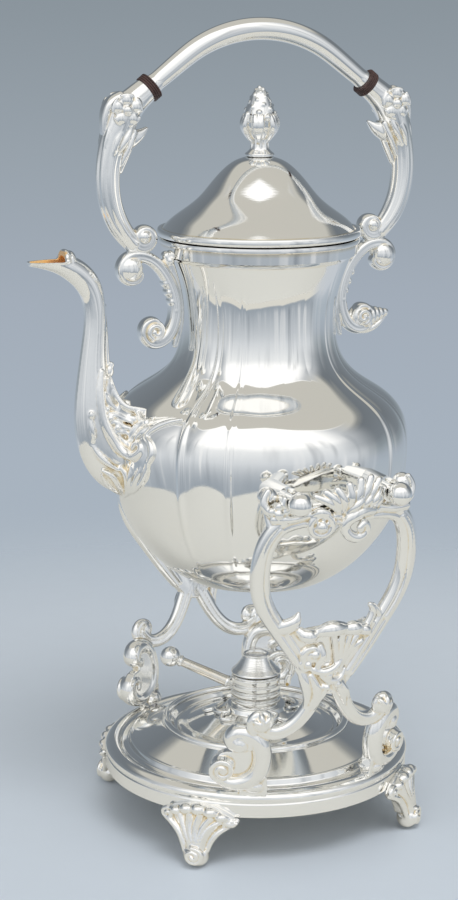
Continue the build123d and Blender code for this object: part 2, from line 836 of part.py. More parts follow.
with BuildPart() as lid_hinge_pin:
    with Locations(Plane(origin=(0, hinge_y, hinge_z), z_dir=(1, 0, 0))):
        Cylinder(hinge_pin_radius, 2 * hinge_half)

# ---------------------------------------------------------------- spirit lamp
font_top = collar_foot_z
with BuildPart() as lamp_font:
    font_section = turned(
        (
            (font_flange_radius, well_shelf + 0.05),
            (font_flange_radius, well_shelf + 1.5),
            (34.0, well_shelf + 2.0),
            (28.0, well_shelf + 4.4),
            (20.0, well_shelf + 7.4),
            (15.4, font_top - 2.4),
            (14.6, font_top),
            (8.8, font_top),
            (8.8, font_top - 1.4),
            (13.6, font_top - 1.6),
            (19.4, well_shelf + 6.0),
            (27.6, well_shelf + 3.0),
            (33.6, well_shelf + 0.8),
            (font_radius - 1.2, well_shelf - 0.2),
            (font_radius - 1.2, 28.2),
            (0.0, 28.2),
            (0.0, 27.0),
            (font_radius - 1.0, 27.0),
            (font_radius, 28.0),
            (font_radius, well_shelf + 0.05),
        )
    )
    revolve(font_section, axis=Axis.Z)

collar_outline = [(wick_tube_radius, font_top - 4.0), (8.8, font_top - 4.0), (8.8, font_top), (collar_radius, font_top)]
groove_count = 3
groove_pitch = (collar_top_z - 2.0 - font_top) / (groove_count + 1)
for groove in range(groove_count):
    groove_z = font_top + groove_pitch * (groove + 1)
    collar_outline += [
        (collar_radius, groove_z - 0.9),
        (collar_radius - 0.9, groove_z - 0.3),
        (collar_radius - 0.9, groove_z + 0.3),
        (collar_radius, groove_z + 0.9),
    ]
collar_outline += [(collar_radius, collar_top_z - 0.3), (wick_tube_radius, collar_top_z - 0.3)]
lug_inner_x = collar_radius - 1.0
seat = Vector(-collar_radius, 0, 64.0)
tip = Vector(lamp_ball_x, 0, lamp_ball_z)
run = (tip - seat).normalized()
with BuildPart() as burner_collar:
    revolve(turned(collar_outline), axis=Axis.Z)
    # lug that carries the snuffer's pivot
    with Locations((lug_inner_x, 0, snuffer_pivot_z)):
        Box(snuffer_pivot_x - lug_inner_x, 2.2, 3.6, align=(Align.MIN, Align.CENTER, Align.CENTER))
    disc((snuffer_pivot_x, 0, snuffer_pivot_z), (0, 1, 0), 1.8, 2.2)
    disc((snuffer_pivot_x, 0, snuffer_pivot_z), (0, 1, 0), 0.8, 2.3)
    with Locations(Plane(origin=(snuffer_pivot_x, 0, snuffer_pivot_z), z_dir=(0, 1, 0))):
        Cylinder(0.8, 10, mode=Mode.SUBTRACT)
    # drilled seat for the handle rod
    with Locations(Plane(origin=seat, z_dir=run)):
        Cylinder(2.0, 6, mode=Mode.SUBTRACT)

with BuildPart() as wick_tube:
    with Locations((0, 0, 38.0)):
        Cylinder(wick_tube_radius, 35.0, align=(Align.CENTER, Align.CENTER, Align.MIN))
        Cylinder(wick_tube_radius - 0.8, 35.0, align=(Align.CENTER, Align.CENTER, Align.MIN), mode=Mode.SUBTRACT)

with BuildPart() as wick:
    with Locations((0, 0, 29.0)):
        Cylinder(wick_tube_radius - 0.8, 46.0, align=(Align.CENTER, Align.CENTER, Align.MIN))
    fillet(wick.edges().sort_by(Axis.Z)[-1], 1.2)

rod_length = (tip - seat).length - 2.0
rod_axis = Plane(origin=seat, x_dir=(0, 1, 0), z_dir=run)
rod_side = Plane(origin=seat, x_dir=(0, 1, 0), z_dir=rod_axis.y_dir)
with BuildPart() as lamp_handle:
    with BuildSketch(rod_side):
        with BuildLine():
            Polyline(
                (0, 2.6),
                (1.98, 2.6),
                (1.98, -1.6),
                (3.3, -1.6),
                (2.2, -rod_length),
                (0, -rod_length),
                close=True,
            )
        make_face()
    revolve(axis=Axis(seat, run))

with BuildPart() as lamp_ball:
    ball(tip, lamp_ball_radius)
    add(lamp_handle.part, mode=Mode.SUBTRACT)

# ---------------------------------------------------------------- snuffer
cap_bottom = collar_top_z + 0.2
cap_outer = (
    (collar_radius + 0.2, cap_bottom),
    (collar_radius, cap_bottom + 1.2),
    (cap_top_radius + 2.2, cap_top_z - 2.6),
    (cap_top_radius + 0.4, cap_top_z - 1.0),
    (cap_top_radius, cap_top_z),
    (0.0, cap_top_z),
)
cap_inner = (
    (0.0, cap_top_z - 1.1),
    (cap_top_radius - 0.4, cap_top_z - 1.1),
    (cap_top_radius + 1.2, cap_top_z - 2.9),
    (collar_radius - 1.2, cap_bottom + 1.0),
    (collar_radius - 1.0, cap_bottom),
)
with BuildPart() as snuffer_cap:
    revolve(turned(cap_outer + cap_inner), axis=Axis.Z)

with BuildPart() as cap_block:
    revolve(turned(cap_outer + ((0.0, cap_bottom),)), axis=Axis.Z)

arm_half = 2.9
with BuildPart() as snuffer_arm:
    lamp_side = Plane(origin=(0, 0, 0), x_dir=(1, 0, 0), z_dir=(0, -1, 0))
    round_rail(
        lamp_side,
        ((6.6, 78.4), (14.6, 79.4), (18.4, 72.0), (16.4, 68.0)),
        (3.4, 3.0),
        1.5,
    )
    # fork that straddles the collar's lug
    with Locations((snuffer_pivot_x + 0.3, 0, snuffer_pivot_z + 2.2)):
        Box(3.4, 2 * arm_half, 5.6, align=(Align.CENTER, Align.CENTER, Align.CENTER))
    disc((snuffer_pivot_x, 0, snuffer_pivot_z), (0, 1, 0), 1.8, 2 * arm_half)
    with Locations((snuffer_pivot_x - 4.0, 0, snuffer_pivot_z - 4.0)):
        Box(9.0, 2.6, 6.4, align=(Align.MIN, Align.CENTER, Align.MIN), mode=Mode.SUBTRACT)
    with Locations((0, 0, 60)):
        Cylinder(collar_radius + 0.35, 10.2, align=(Align.CENTER, Align.CENTER, Align.MIN), mode=Mode.SUBTRACT)
    with Locations(Plane(origin=(snuffer_pivot_x, 0, snuffer_pivot_z), z_dir=(0, 1, 0))):
        Cylinder(0.8 + running_gap, 10, mode=Mode.SUBTRACT)
    add(cap_block.part, mode=Mode.SUBTRACT)

with BuildPart() as snuffer_pin:
    disc((snuffer_pivot_x, 0, snuffer_pivot_z), (0, 1, 0), 0.8, 2 * arm_half + 0.4)

# ---------------------------------------------------------------- write every piece
turn_lamp = Location((0, 0, 0), (0, 0, lamp_turn))
pieces = {
    "base_plate": drilled_plate.part,
    "lamp_ring": lamp_ring.part,
    "frame_front": drilled_frame.part,
    "frame_back": drilled_frame.part.rotate(Axis.Z, 180),
    "frame_screws": frame_screws.part,
    "tilt_trunnions": trunnions(-trunnion_x, 71.0),
    "rest_trunnions": trunnions(trunnion_x, 70.0),
    "trunnion_lugs": trunnion_lugs.part,
    "kettle_body": kettle_body.part,
    "kettle_bottom": kettle_bottom.part,
    "spout": spout.part,
    "bracket_left": bracket_left.part,
    "bracket_right": bracket_right.part,
    "handle_arm_left": handle_arm_left.part,
    "handle_arm_right": handle_arm_right.part,
    "insulator_left": insulator(-1),
    "insulator_right": insulator(1),
    "handle_grip": handle_grip.part,
    "handle_cross_pins": cross_pins.part,
    "body_hinge_leaf": body_hinge_leaf.part,
    "lid_hinge_leaf": lid_hinge_leaf.part,
    "lid_hinge_pin": lid_hinge_pin.part,
    "lid": lid.part,
    "finial": finial.part,
    "finial_stud": finial_stud.part,
    "finial_nut": finial_nut.part,
    "lamp_font": lamp_font.part,
    "burner_collar": burner_collar.part.moved(turn_lamp),
    "wick_tube": wick_tube.part,
    "wick": wick.part,
    "lamp_handle": lamp_handle.part.moved(turn_lamp),
    "lamp_ball": lamp_ball.part.moved(turn_lamp),
    "snuffer_cap": snuffer_cap.part.moved(turn_lamp),
    "snuffer_arm": snuffer_arm.part.moved(turn_lamp),
    "snuffer_pin": snuffer_pin.part.moved(turn_lamp),
}
for foot_name, bearing in feet.items():
    pieces[foot_name] = foot(bearing)
for piece_name, piece in pieces.items():
    write(piece, piece_name)
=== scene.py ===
"""Looks of the spirit kettle on its stand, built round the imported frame.

Shapes are written in millimetres and turned into metres when a mesh is made.
"""
import json
from math import cos, pi, radians, sin, sqrt, tan

import bmesh
import bpy
import numpy as np
from mathutils import Matrix, Vector


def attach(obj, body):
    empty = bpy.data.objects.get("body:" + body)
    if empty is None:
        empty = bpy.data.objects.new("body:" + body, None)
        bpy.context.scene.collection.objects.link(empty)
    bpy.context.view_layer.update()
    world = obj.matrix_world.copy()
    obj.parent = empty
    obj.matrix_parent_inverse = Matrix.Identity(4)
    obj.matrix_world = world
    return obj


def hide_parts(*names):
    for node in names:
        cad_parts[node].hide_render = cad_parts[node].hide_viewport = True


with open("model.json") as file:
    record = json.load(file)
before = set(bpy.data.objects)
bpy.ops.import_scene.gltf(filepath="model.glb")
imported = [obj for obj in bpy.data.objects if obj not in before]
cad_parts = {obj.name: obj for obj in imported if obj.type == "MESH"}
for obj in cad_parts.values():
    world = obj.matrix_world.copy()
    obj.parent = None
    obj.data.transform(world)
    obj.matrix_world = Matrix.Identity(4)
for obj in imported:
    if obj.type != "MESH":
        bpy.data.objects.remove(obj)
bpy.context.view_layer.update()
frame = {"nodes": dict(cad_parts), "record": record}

MM = 0.001


# ---------------------------------------------------------------- curves and surfaces
def through(rows, count):
    """Evenly spaced rows on a natural cubic through the given rows; the first three columns are a point."""
    p = np.array(rows, float)
    steps = np.linalg.norm(np.diff(p[:, :3], axis=0), axis=1)
    s = np.concatenate([[0.0], np.cumsum(steps)])
    n = len(p)
    system = np.eye(n)
    right = np.zeros_like(p)
    for i in range(1, n - 1):
        system[i, i - 1 : i + 2] = (steps[i - 1], 2 * (steps[i - 1] + steps[i]), steps[i])
        right[i] = 6 * ((p[i + 1] - p[i]) / steps[i] - (p[i] - p[i - 1]) / steps[i - 1])
    bend = np.linalg.solve(system, right)
    u = np.linspace(0, s[-1], count)
    k = np.clip(np.searchsorted(s, u, side="right") - 1, 0, n - 2)
    h = steps[k][:, None]
    a = (s[k + 1] - u)[:, None]
    b = (u - s[k])[:, None]
    return (
        bend[k] * a**3 / (6 * h)
        + bend[k + 1] * b**3 / (6 * h)
        + (p[k] / h - bend[k] * h / 6) * a
        + (p[k + 1] / h - bend[k + 1] * h / 6) * b
    )


def unit(v):
    v = np.asarray(v, float)
    return v / np.maximum(np.linalg.norm(v, axis=-1, keepdims=True), 1e-12)


def around(sides):
    """Angles of evenly spaced points on a circle."""
    return np.linspace(0, 2 * pi, sides, endpoint=False)


def soften(points, size, steps=5):
    """Closed outline with its corners rounded."""
    p = np.array(points, float)
    out = []
    for i, corner in enumerate(p):
        before, after = p[i - 1], p[(i + 1) % len(p)]
        to_before, to_after = np.linalg.norm(before - corner), np.linalg.norm(after - corner)
        cut = min(size, 0.45 * to_before, 0.45 * to_after)
        start = corner + (before - corner) * cut / to_before
        end = corner + (after - corner) * cut / to_after
        for t in np.linspace(0, 1, steps):
            out.append((1 - t)**2 * start + 2 * t * (1 - t) * corner + t * t * end)
    return np.array(out)


def skin(rings, closed=False):
    """Quads over rings[i, j], closed along j; the run of rings is closed too, or capped at both ends."""
    rings = np.asarray(rings, float)
    m, n = rings.shape[:2]
    at = np.arange(m * n).reshape(m, n)
    near, far = (at, np.roll(at, -1, 0)) if closed else (at[:-1], at[1:])
    quads = np.stack([near, np.roll(near, -1, 1), np.roll(far, -1, 1), far], -1).reshape(-1, 4)
    faces = quads.tolist()
    if not closed:
        faces += [at[0][::-1].tolist(), at[-1].tolist()]
    return rings.reshape(-1, 3), faces


def lathe(profile, sides=192, wave=None):
    """Closed (radius, height) outline turned round the Z axis; wave(angle, z) scales the radius."""
    p = np.array(profile, float)
    turn = around(sides)
    radius = np.repeat(p[:, :1], sides, 1)
    height = np.repeat(p[:, 1:2], sides, 1)
    if wave is not None:
        radius = radius * wave(turn[None, :], height)
    return skin(np.stack([radius * np.cos(turn), radius * np.sin(turn), height], -1), closed=True)


def frames_along(line, up=None):
    """Tangent, side and normal at each point; the normal keeps near up, or turns as little as it can."""
    tangent = unit(np.gradient(line, axis=0))
    if up is not None:
        up = np.broadcast_to(np.asarray(up, float), line.shape)
        side = unit(np.cross(tangent, up))
        return tangent, side, np.cross(side, tangent)
    start = np.eye(3)[np.argmin(np.abs(tangent[0]))]
    normal = unit(start - tangent[0] * (start @ tangent[0]))
    normals = [normal]
    for t in tangent[1:]:
        normal = unit(normal - t * (normal @ t))
        normals.append(normal)
    normals = np.array(normals)
    return tangent, np.cross(normals, tangent), normals


def round_ends(rows, sizes, steps=6):
    """Adds rows that close both ends as half a ball; sizes are the columns that shrink."""
    first, last = rows[0], rows[-1]
    head, tail = unit(rows[0, :3] - rows[1, :3]), unit(rows[-1, :3] - rows[-2, :3])

    def cap(row, way):
        reach = min(row[c] for c in sizes)
        out = []
        for t in np.linspace(0.15, 1.0, steps) * pi / 2:
            extra = row.copy()
            extra[:3] = row[:3] + way * reach * sin(t)
            for c in sizes:
                extra[c] = max(row[c] * cos(t), 0.02)
            out.append(extra)
        return out

    return np.array(cap(first, head)[::-1] + list(rows) + cap(last, tail))


def tube(rows, sides, up=None):
    """Round skin along rows of x, y, z, radius."""
    _, side, normal = frames_along(rows[:, :3], up)
    turn = around(sides)[None, :, None]
    ring = np.cos(turn) * side[:, None] + np.sin(turn) * normal[:, None]
    return skin(rows[:, None, :3] + rows[:, 3, None, None] * ring)


def rod(rows, count, sides):
    """Round stroke with round ends; two rows make it straight, more make it a smooth curve."""
    rows = through(rows, count) if len(rows) > 2 else np.linspace(rows[0], rows[-1], 12)
    return tube(round_ends(np.asarray(rows, float), (3,)), sides)


def strap(rows, up, count, sides, groove=0.0, ridge=0.3, power=2.4):
    """Flat stroke through rows of x, y, z, half width, half depth; ridge is the width of its groove."""
    rows = round_ends(through(rows, count), (3, 4))
    _, side, normal = frames_along(rows[:, :3], up)
    turn = around(sides)
    across = np.sign(np.cos(turn)) * np.abs(np.cos(turn))**(2 / power)
    deep = np.sign(np.sin(turn)) * np.abs(np.sin(turn))**(2 / power)
    deep = deep * (1 - groove * np.exp(-((across / ridge)**2)))
    ring = (
        rows[:, None, :3]
        + (rows[:, 3, None] * across)[..., None] * side[:, None]
        + (rows[:, 4, None] * deep)[..., None] * normal[:, None]
    )
    return skin(ring)


def blob(centre, radii, sides=20):
    """Ellipsoid at a point; radii is one number or three."""
    lift = np.linspace(-pi / 2 + 0.04, pi / 2 - 0.04, sides // 2 + 2)[:, None]
    turn = around(sides)
    local = np.stack(
        [np.cos(lift) * np.cos(turn), np.cos(lift) * np.sin(turn), np.repeat(np.sin(lift), sides, 1)], -1
    )
    return skin(local * np.asarray(radii, float) + np.asarray(centre, float))


def slab(outline, place, low, high):
    """Filled outline of (x, z) points between two depths of a surface."""
    p = soften(outline, 1.2, 3)
    rings = [[place(x, z, depth) for x, z in p] for depth in (low, high)]
    return skin(np.array(rings))


def curl(centre, start, end, size_start, size_end, angle, turns, out=0.0, out_end=None, steps=16):
    """Rows of x, z, out, size along a flat spiral."""
    rows = []
    out_end = out if out_end is None else out_end
    for t in np.linspace(0, 1, steps):
        turn = radians(angle) + 2 * pi * turns * t
        reach = start + (end - start) * t
        size = size_start + (size_end - size_start) * t
        x, z = centre[0] + reach * cos(turn), centre[1] + reach * sin(turn)
        rows.append((x, z, out + (out_end - out) * t, size))
    return rows


class Surface:
    """Lays rows of x, z, out, sizes... on a surface, adds strokes to parts; flip -1 mirrors them."""

    def __init__(self, parts, place, flip=1):
        self.parts, self.place, self.flip = parts, place, flip

    def __call__(self, rows):
        return [(*self.place(self.flip * row[0], row[1], row[2]), *row[3:]) for row in rows]

    def rod(self, count, sides, *rows):
        self.parts.append(rod(self(rows), count, sides))

    def blob(self, x, z, out, radii):
        self.parts.append(blob(self.place(self.flip * x, z, out), radii))


# ---------------------------------------------------------------- meshes
def add_object(name, data):
    made = bpy.data.objects.new(name, data)
    bpy.context.scene.collection.objects.link(made)
    return made


def raw_mesh(name, shapes):
    points, faces, base = [], [], 0
    for verts, quads in shapes:
        points.append(verts)
        faces += [[i + base for i in face] for face in quads]
        base += len(verts)
    mesh = bpy.data.meshes.new(name)
    mesh.from_pydata((np.vstack(points) * MM).tolist(), [], faces)
    work = bmesh.new()
    work.from_mesh(mesh)
    bmesh.ops.remove_doubles(work, verts=work.verts, dist=2e-6)
    bmesh.ops.recalc_face_normals(work, faces=work.faces)
    work.to_mesh(mesh)
    work.free()
    mesh.update()
    return mesh


def mark_hollows(mesh, rounds=14, depth=0.22):
    """Point attribute that is above 0 in recesses and below 0 on crests."""
    n = len(mesh.vertices)
    co = np.zeros(n * 3)
    mesh.vertices.foreach_get("co", co)
    co = co.reshape(-1, 3) / MM
    normal = np.zeros(n * 3, np.float32)
    mesh.vertex_normals.foreach_get("vector", normal)
    normal = normal.reshape(-1, 3)
    edges = np.zeros(len(mesh.edges) * 2, np.int64)
    mesh.edges.foreach_get("vertices", edges)
    a, b = edges[0::2], edges[1::2]
    count = np.maximum(np.bincount(np.r_[a, b], minlength=n), 1)[:, None]
    smooth = co.copy()
    for _ in range(rounds):
        total = np.stack([np.bincount(np.r_[a, b], smooth[np.r_[b, a], i], n) for i in range(3)], -1)
        smooth = 0.5 * smooth + 0.5 * total / count
    hollow = ((smooth - co) * normal).sum(1) / depth
    spot = mesh.attributes.get("hollow") or mesh.attributes.new("hollow", "FLOAT", "POINT")
    spot.data.foreach_set("value", np.clip(hollow, -1, 1).astype(np.float32))


def finish_piece(name, mesh, look, body, nodes):
    mesh.name = name
    mesh.materials.clear()
    mesh.materials.append(look)
    piece = add_object(name, mesh)
    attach(piece, body)
    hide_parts(*nodes)


def smooth_shade(mesh, angle=None):
    mesh.polygons.foreach_set("use_smooth", [True] * len(mesh.polygons))
    if angle is not None:
        mesh.set_sharp_from_angle(angle=radians(angle))


def turned_mesh(name, shapes, angle=38):
    mesh = raw_mesh(name, shapes)
    smooth_shade(mesh, angle)
    mark_hollows(mesh, 6, 0.4)
    return mesh


def turned_piece(name, shapes, look, body, nodes):
    finish_piece(name, turned_mesh(name, shapes), look, body, nodes)


def cast_mesh(name, shapes, voxel, easing, cut=()):
    """Joins strokes into one skin, as a casting runs them together, and cuts shapes out of it."""
    source = add_object(name + "_strokes", raw_mesh(name + "_strokes", shapes))
    cutters = [add_object(name + "_cut", raw_mesh(name + "_cut", [tool])) for tool in cut]

    def join():
        remesh = source.modifiers.new("join", "REMESH")
        remesh.mode = "VOXEL"
        remesh.voxel_size = voxel * MM
        remesh.use_smooth_shade = True

    join()
    for cutter in cutters:
        hole = source.modifiers.new("cut", "BOOLEAN")
        hole.operation = "DIFFERENCE"
        hole.solver = "EXACT"
        hole.object = cutter
    if cutters:
        join()
    ease = source.modifiers.new("ease", "SMOOTH")
    ease.factor = 0.5
    ease.iterations = easing
    bpy.context.view_layer.update()
    graph = bpy.context.evaluated_depsgraph_get()
    mesh = bpy.data.meshes.new_from_object(source.evaluated_get(graph))
    for helper in [source] + cutters:
        old = helper.data
        bpy.data.objects.remove(helper)
        bpy.data.meshes.remove(old)
    smooth_shade(mesh)
    mark_hollows(mesh)
    return mesh


# ---------------------------------------------------------------- node graphs
def linear(r, g, b):
    """Screen colour of 0 to 255 as a linear colour."""
    out = []
    for value in (r, g, b):
        v = value / 255
        out.append(v / 12.92 if v <= 0.04045 else ((v + 0.055) / 1.055)**2.4)
    return (*out, 1.0)


class Graph:
    """Short way to write node trees."""

    def __init__(self, tree):
        self.tree = tree
        tree.nodes.clear()

    def node(self, kind, settings=(), **inputs):
        made = self.tree.nodes.new("ShaderNode" + kind)
        for key, value in dict(settings).items():
            setattr(made, key, value)
        for key, value in inputs.items():
            self.feed(made.inputs[key.replace("_", " ")], value)
        return made

    def feed(self, socket, value):
        if isinstance(value, bpy.types.NodeSocket):
            self.tree.links.new(value, socket)
        else:
            socket.default_value = value

    def math(self, operation, a, b=0.0, clamp=False):
        made = self.tree.nodes.new("ShaderNodeMath")
        made.operation = operation
        made.use_clamp = clamp
        self.feed(made.inputs[0], a)
        self.feed(made.inputs[1], b)
        return made.outputs[0]

    def times(self, a, b, clamp=False):
        return self.math("MULTIPLY", a, b, clamp)

    def plus(self, a, b, clamp=False):
        return self.math("ADD", a, b, clamp)

    def ramp(self, value, stops):
        made = self.tree.nodes.new("ShaderNodeValToRGB")
        marks = made.color_ramp.elements
        while len(marks) < len(stops):
            marks.new(0.5)
        for mark, (place, colour) in zip(marks, stops):
            mark.position = place
            mark.color = colour
        self.feed(made.inputs[0], value)
        return made.outputs[0]

    def spread(self, value, low, high, to_low=0.0, to_high=1.0):
        ends = {"From_Min": low, "From_Max": high, "To_Min": to_low, "To_Max": to_high}
        made = self.node("MapRange", {"interpolation_type": "SMOOTHSTEP"}, Value=value, **ends)
        return made.outputs["Result"]

    def blend(self, factor, a, b):
        made = self.tree.nodes.new("ShaderNodeMix")
        made.data_type = "RGBA"
        self.feed(made.inputs[0], factor)
        self.feed(made.inputs[6], a)
        self.feed(made.inputs[7], b)
        return made.outputs[2]

    def noise(self, vector, scale, detail=3.0, roughness=0.55, distortion=0.0):
        settings = {"Scale": scale, "Detail": detail, "Roughness": roughness, "Distortion": distortion}
        return self.node("TexNoise", Vector=vector, **settings).outputs["Fac"]


# ---------------------------------------------------------------- finishes
CLEAN = (0.970, 0.960, 0.932, 1.0)
STRAW = (0.86, 0.70, 0.42, 1.0)
UMBER = (0.34, 0.25, 0.15, 1.0)
GILT = (0.93, 0.56, 0.20, 1.0)


def blank_look(name):
    """New material, its graph and its object coordinates."""
    look = bpy.data.materials.new(name)
    look.use_nodes = True
    g = Graph(look.node_tree)
    return look, g, g.node("TexCoord").outputs["Object"]


def silver(name, rough, tarnish, wave, grain, gilt=False, turned=False):
    """Silver plate: straw tarnish in its recesses, faint scratches and a hand-raised waviness."""
    look, g, place = blank_look(name)
    hollow = g.node("Attribute", {"attribute_name": "hollow"}).outputs["Fac"]
    cloud = g.noise(place, 55.0, 4.0)
    speck = g.noise(place, 420.0, 5.0, 0.65)
    recess = g.spread(hollow, 0.20, 0.85)
    stain = g.times(recess, g.spread(cloud, 0.32, 0.66, 0.35, 1.0))
    bloom = g.spread(g.noise(place, 24.0, 5.0, 0.6), 0.58, 0.82, 0.0, 0.16)
    stain = g.times(g.plus(stain, bloom, True), tarnish, True)
    deep = g.times(g.spread(hollow, 0.55, 1.0), g.spread(speck, 0.45, 0.72, 0.1, 0.6), True)
    colour = g.blend(stain, CLEAN, STRAW)
    colour = g.blend(g.times(deep, tarnish, True), colour, UMBER)
    metal = 1.0
    if gilt:
        inside = g.node("Attribute", {"attribute_name": "gilt"}).outputs["Fac"]
        colour = g.blend(g.times(inside, g.spread(cloud, 0.2, 0.7, 0.75, 1.0)), colour, GILT)
        metal = g.math("SUBTRACT", 1.0, g.times(inside, 0.55))
    smudge = g.spread(g.noise(place, 90.0, 5.0, 0.6), 0.40, 0.75, 0.0, 0.045)
    dull = g.times(stain, 0.16)
    if gilt:
        dull = g.plus(dull, g.times(inside, 0.22))
    roughness = g.plus(g.plus(smudge, dull), rough, True)
    hills = g.noise(place, 38.0, 1.5, 0.4)
    height = g.noise(place, 900.0, 6.0, 0.7, 1.2)
    if turned:
        kind = {"wave_type": "RINGS", "rings_direction": "Z"}
        rings = g.node("TexWave", kind, Vector=place, Scale=620.0, Distortion=1.5, Detail=2.0)
        height = g.plus(g.times(rings.outputs["Fac"], 0.8), height)
    swell = g.node("Bump", Strength=wave, Distance=0.0012, Height=hills)
    fine = g.node("Bump", Strength=grain, Distance=0.00008, Height=height, Normal=swell.outputs[0])
    surface = {"Base_Color": colour, "Roughness": roughness, "Normal": fine.outputs[0]}
    shader = g.node("BsdfPrincipled", Metallic=metal, **surface)
    g.node("OutputMaterial", Surface=shader.outputs[0])
    return look


def dull_look(name, dark, light, scale, rough, metallic=0.0, bump=0.3):
    """Matt stuff with a mottled colour and a fine surface: insulators, wick, steel and brass."""
    look, g, place = blank_look(name)
    mottle = g.noise(place, scale, 5.0, 0.65)
    fine = g.noise(place, scale * 5, 4.0, 0.6)
    colour = g.ramp(mottle, [(0.3, dark), (0.7, light)])
    roughness = g.spread(fine, 0.3, 0.7, rough - 0.08, rough + 0.1)
    relief = g.node("Bump", Strength=bump, Distance=0.0002, Height=g.plus(mottle, fine))
    surface = {"Base_Color": colour, "Roughness": roughness, "Normal": relief.outputs[0]}
    shader = g.node("BsdfPrincipled", Metallic=metallic, **surface)
    g.node("OutputMaterial", Surface=shader.outputs[0])
    return look


raised = silver("silver_raised", 0.035, tarnish=0.5, wave=0.10, grain=0.03)
spun = silver("silver_spun", 0.04, tarnish=0.6, wave=0.04, grain=0.05, turned=True)
brushed = silver("silver_brushed", 0.17, tarnish=0.7, wave=0.02, grain=0.35, turned=True)
cast = silver("silver_cast", 0.075, tarnish=0.8, wave=0.20, grain=0.10)
gilded = silver("silver_spout", 0.06, tarnish=0.8, wave=0.14, grain=0.06, gilt=True)
composition = dull_look("composition", (0.028, 0.014, 0.012, 1), (0.085, 0.042, 0.036, 1), 420.0, 0.5)
cotton = dull_look("cotton", (0.50, 0.44, 0.34, 1), (0.80, 0.76, 0.66, 1), 900.0, 0.85, bump=0.8)
steel = dull_look("steel", (0.30, 0.30, 0.31, 1), (0.55, 0.55, 0.56, 1), 300.0, 0.32, 1.0)
brass = dull_look("brass", (0.55, 0.38, 0.14, 1), (0.80, 0.60, 0.28, 1), 200.0, 0.30, 1.0)

slot_looks = {"composition": composition, "cotton": cotton, "steel": steel, "brass": brass}
node_slots = {entry["node"]: entry.get("material_slot") for entry in frame["record"].get("subparts", [])}
for name, node in frame["nodes"].items():
    look = slot_looks.get(node_slots.get(name), raised)
    for holder in node.material_slots:
        holder.material = look
    if not node.material_slots:
        node.data.materials.append(look)

# ---------------------------------------------------------------- camera
# place, yaw, pitch and roll were solved from the object's own round rims
VIEW_TURN = radians(-25.0)
CAMERA_BACK = 972.82
CAMERA_UP = 412.42
YAW, PITCH, ROLL = -0.0142, 0.2314, 0.0039
FOCAL_PIXELS, FRAME_HEIGHT, SENSOR = 2060.8, 900.0, 24.0
out_of_view = Matrix.Rotation(VIEW_TURN, 3, "Z")
forward = out_of_view @ Vector((sin(YAW) * cos(PITCH), cos(YAW) * cos(PITCH), -sin(PITCH)))
level = forward.cross(Vector((0, 0, 1))).normalized()
upward = level.cross(forward)
right = level * cos(ROLL) + upward * sin(ROLL)
upright = upward * cos(ROLL) - level * sin(ROLL)
camera_data = bpy.data.cameras.new("camera")
camera_data.sensor_fit = "VERTICAL"
camera_data.sensor_height = SENSOR
camera_data.lens = FOCAL_PIXELS / FRAME_HEIGHT * SENSOR
camera_data.clip_start = 0.01
camera = add_object("camera", camera_data)
turn = Matrix((right, upright, -forward)).transposed().to_4x4()
camera.matrix_world = Matrix.Translation(out_of_view @ Vector((0, -CAMERA_BACK, CAMERA_UP)) * MM) @ turn
bpy.context.scene.camera = camera
bpy.context.scene.view_settings.view_transform = "Standard"

# ---------------------------------------------------------------- light tent
world = bpy.data.worlds.new("tent")
bpy.context.scene.world = world
world.use_nodes = True
g = Graph(world.node_tree)
ray = g.node("TexCoord").outputs["Generated"]
to_front = out_of_view @ Vector((0, -1, 0))
to_right = out_of_view @ Vector((1, 0, 0))


def along(way):
    made = g.node("VectorMath", {"operation": "DOT_PRODUCT"}, Vector=ray)
    made.inputs[1].default_value = way
    return made.outputs["Value"]


depth_part, right_part, lift = along(to_front), along(to_right), along(Vector((0, 0, 1)))
bearing = g.math("ARCTAN2", right_part, depth_part)
elevation = g.math("ARCSINE", lift)
height = g.plus(g.times(elevation, 1 / pi), 0.5)
# the front panel's top edge comes lower toward its ends
droop = g.times(g.times(bearing, bearing), g.spread(elevation, radians(36), radians(56), 0.0, 0.22))
raised_lift = g.plus(elevation, droop)
front_height = g.math("MINIMUM", g.plus(g.times(raised_lift, 1 / pi), 0.5), 1.0)


def panel(height, *rows):
    """Ramp over the height of the tent: an elevation in degrees, then its screen colour."""
    return g.ramp(height, [((angle + 90) / 180, linear(*colour)) for angle, *colour in rows])


backdrop = panel(
    height, (-90, 206, 208, 208), (-25.3, 196, 203, 212), (-21.6, 177, 187, 198),
    (-17.4, 170, 181, 192), (-13.3, 168, 179, 191), (-9.1, 163, 173, 185), (-5.0, 152, 162, 171),
    (-1.1, 139, 149, 157), (8, 122, 130, 138), (34, 112, 119, 126), (39, 140, 143, 143),
    (43, 196, 195, 188), (90, 198, 196, 189),
)
front = panel(
    front_height, (-90, 218, 217, 210), (-27.4, 218, 217, 210), (-26.6, 150, 160, 171),
    (-14, 182, 189, 197), (0, 212, 217, 223), (22, 236, 239, 242), (31, 264, 265, 266),
    (78.0, 268, 268, 268), (79.4, 198, 197, 190), (90, 198, 196, 189),
)
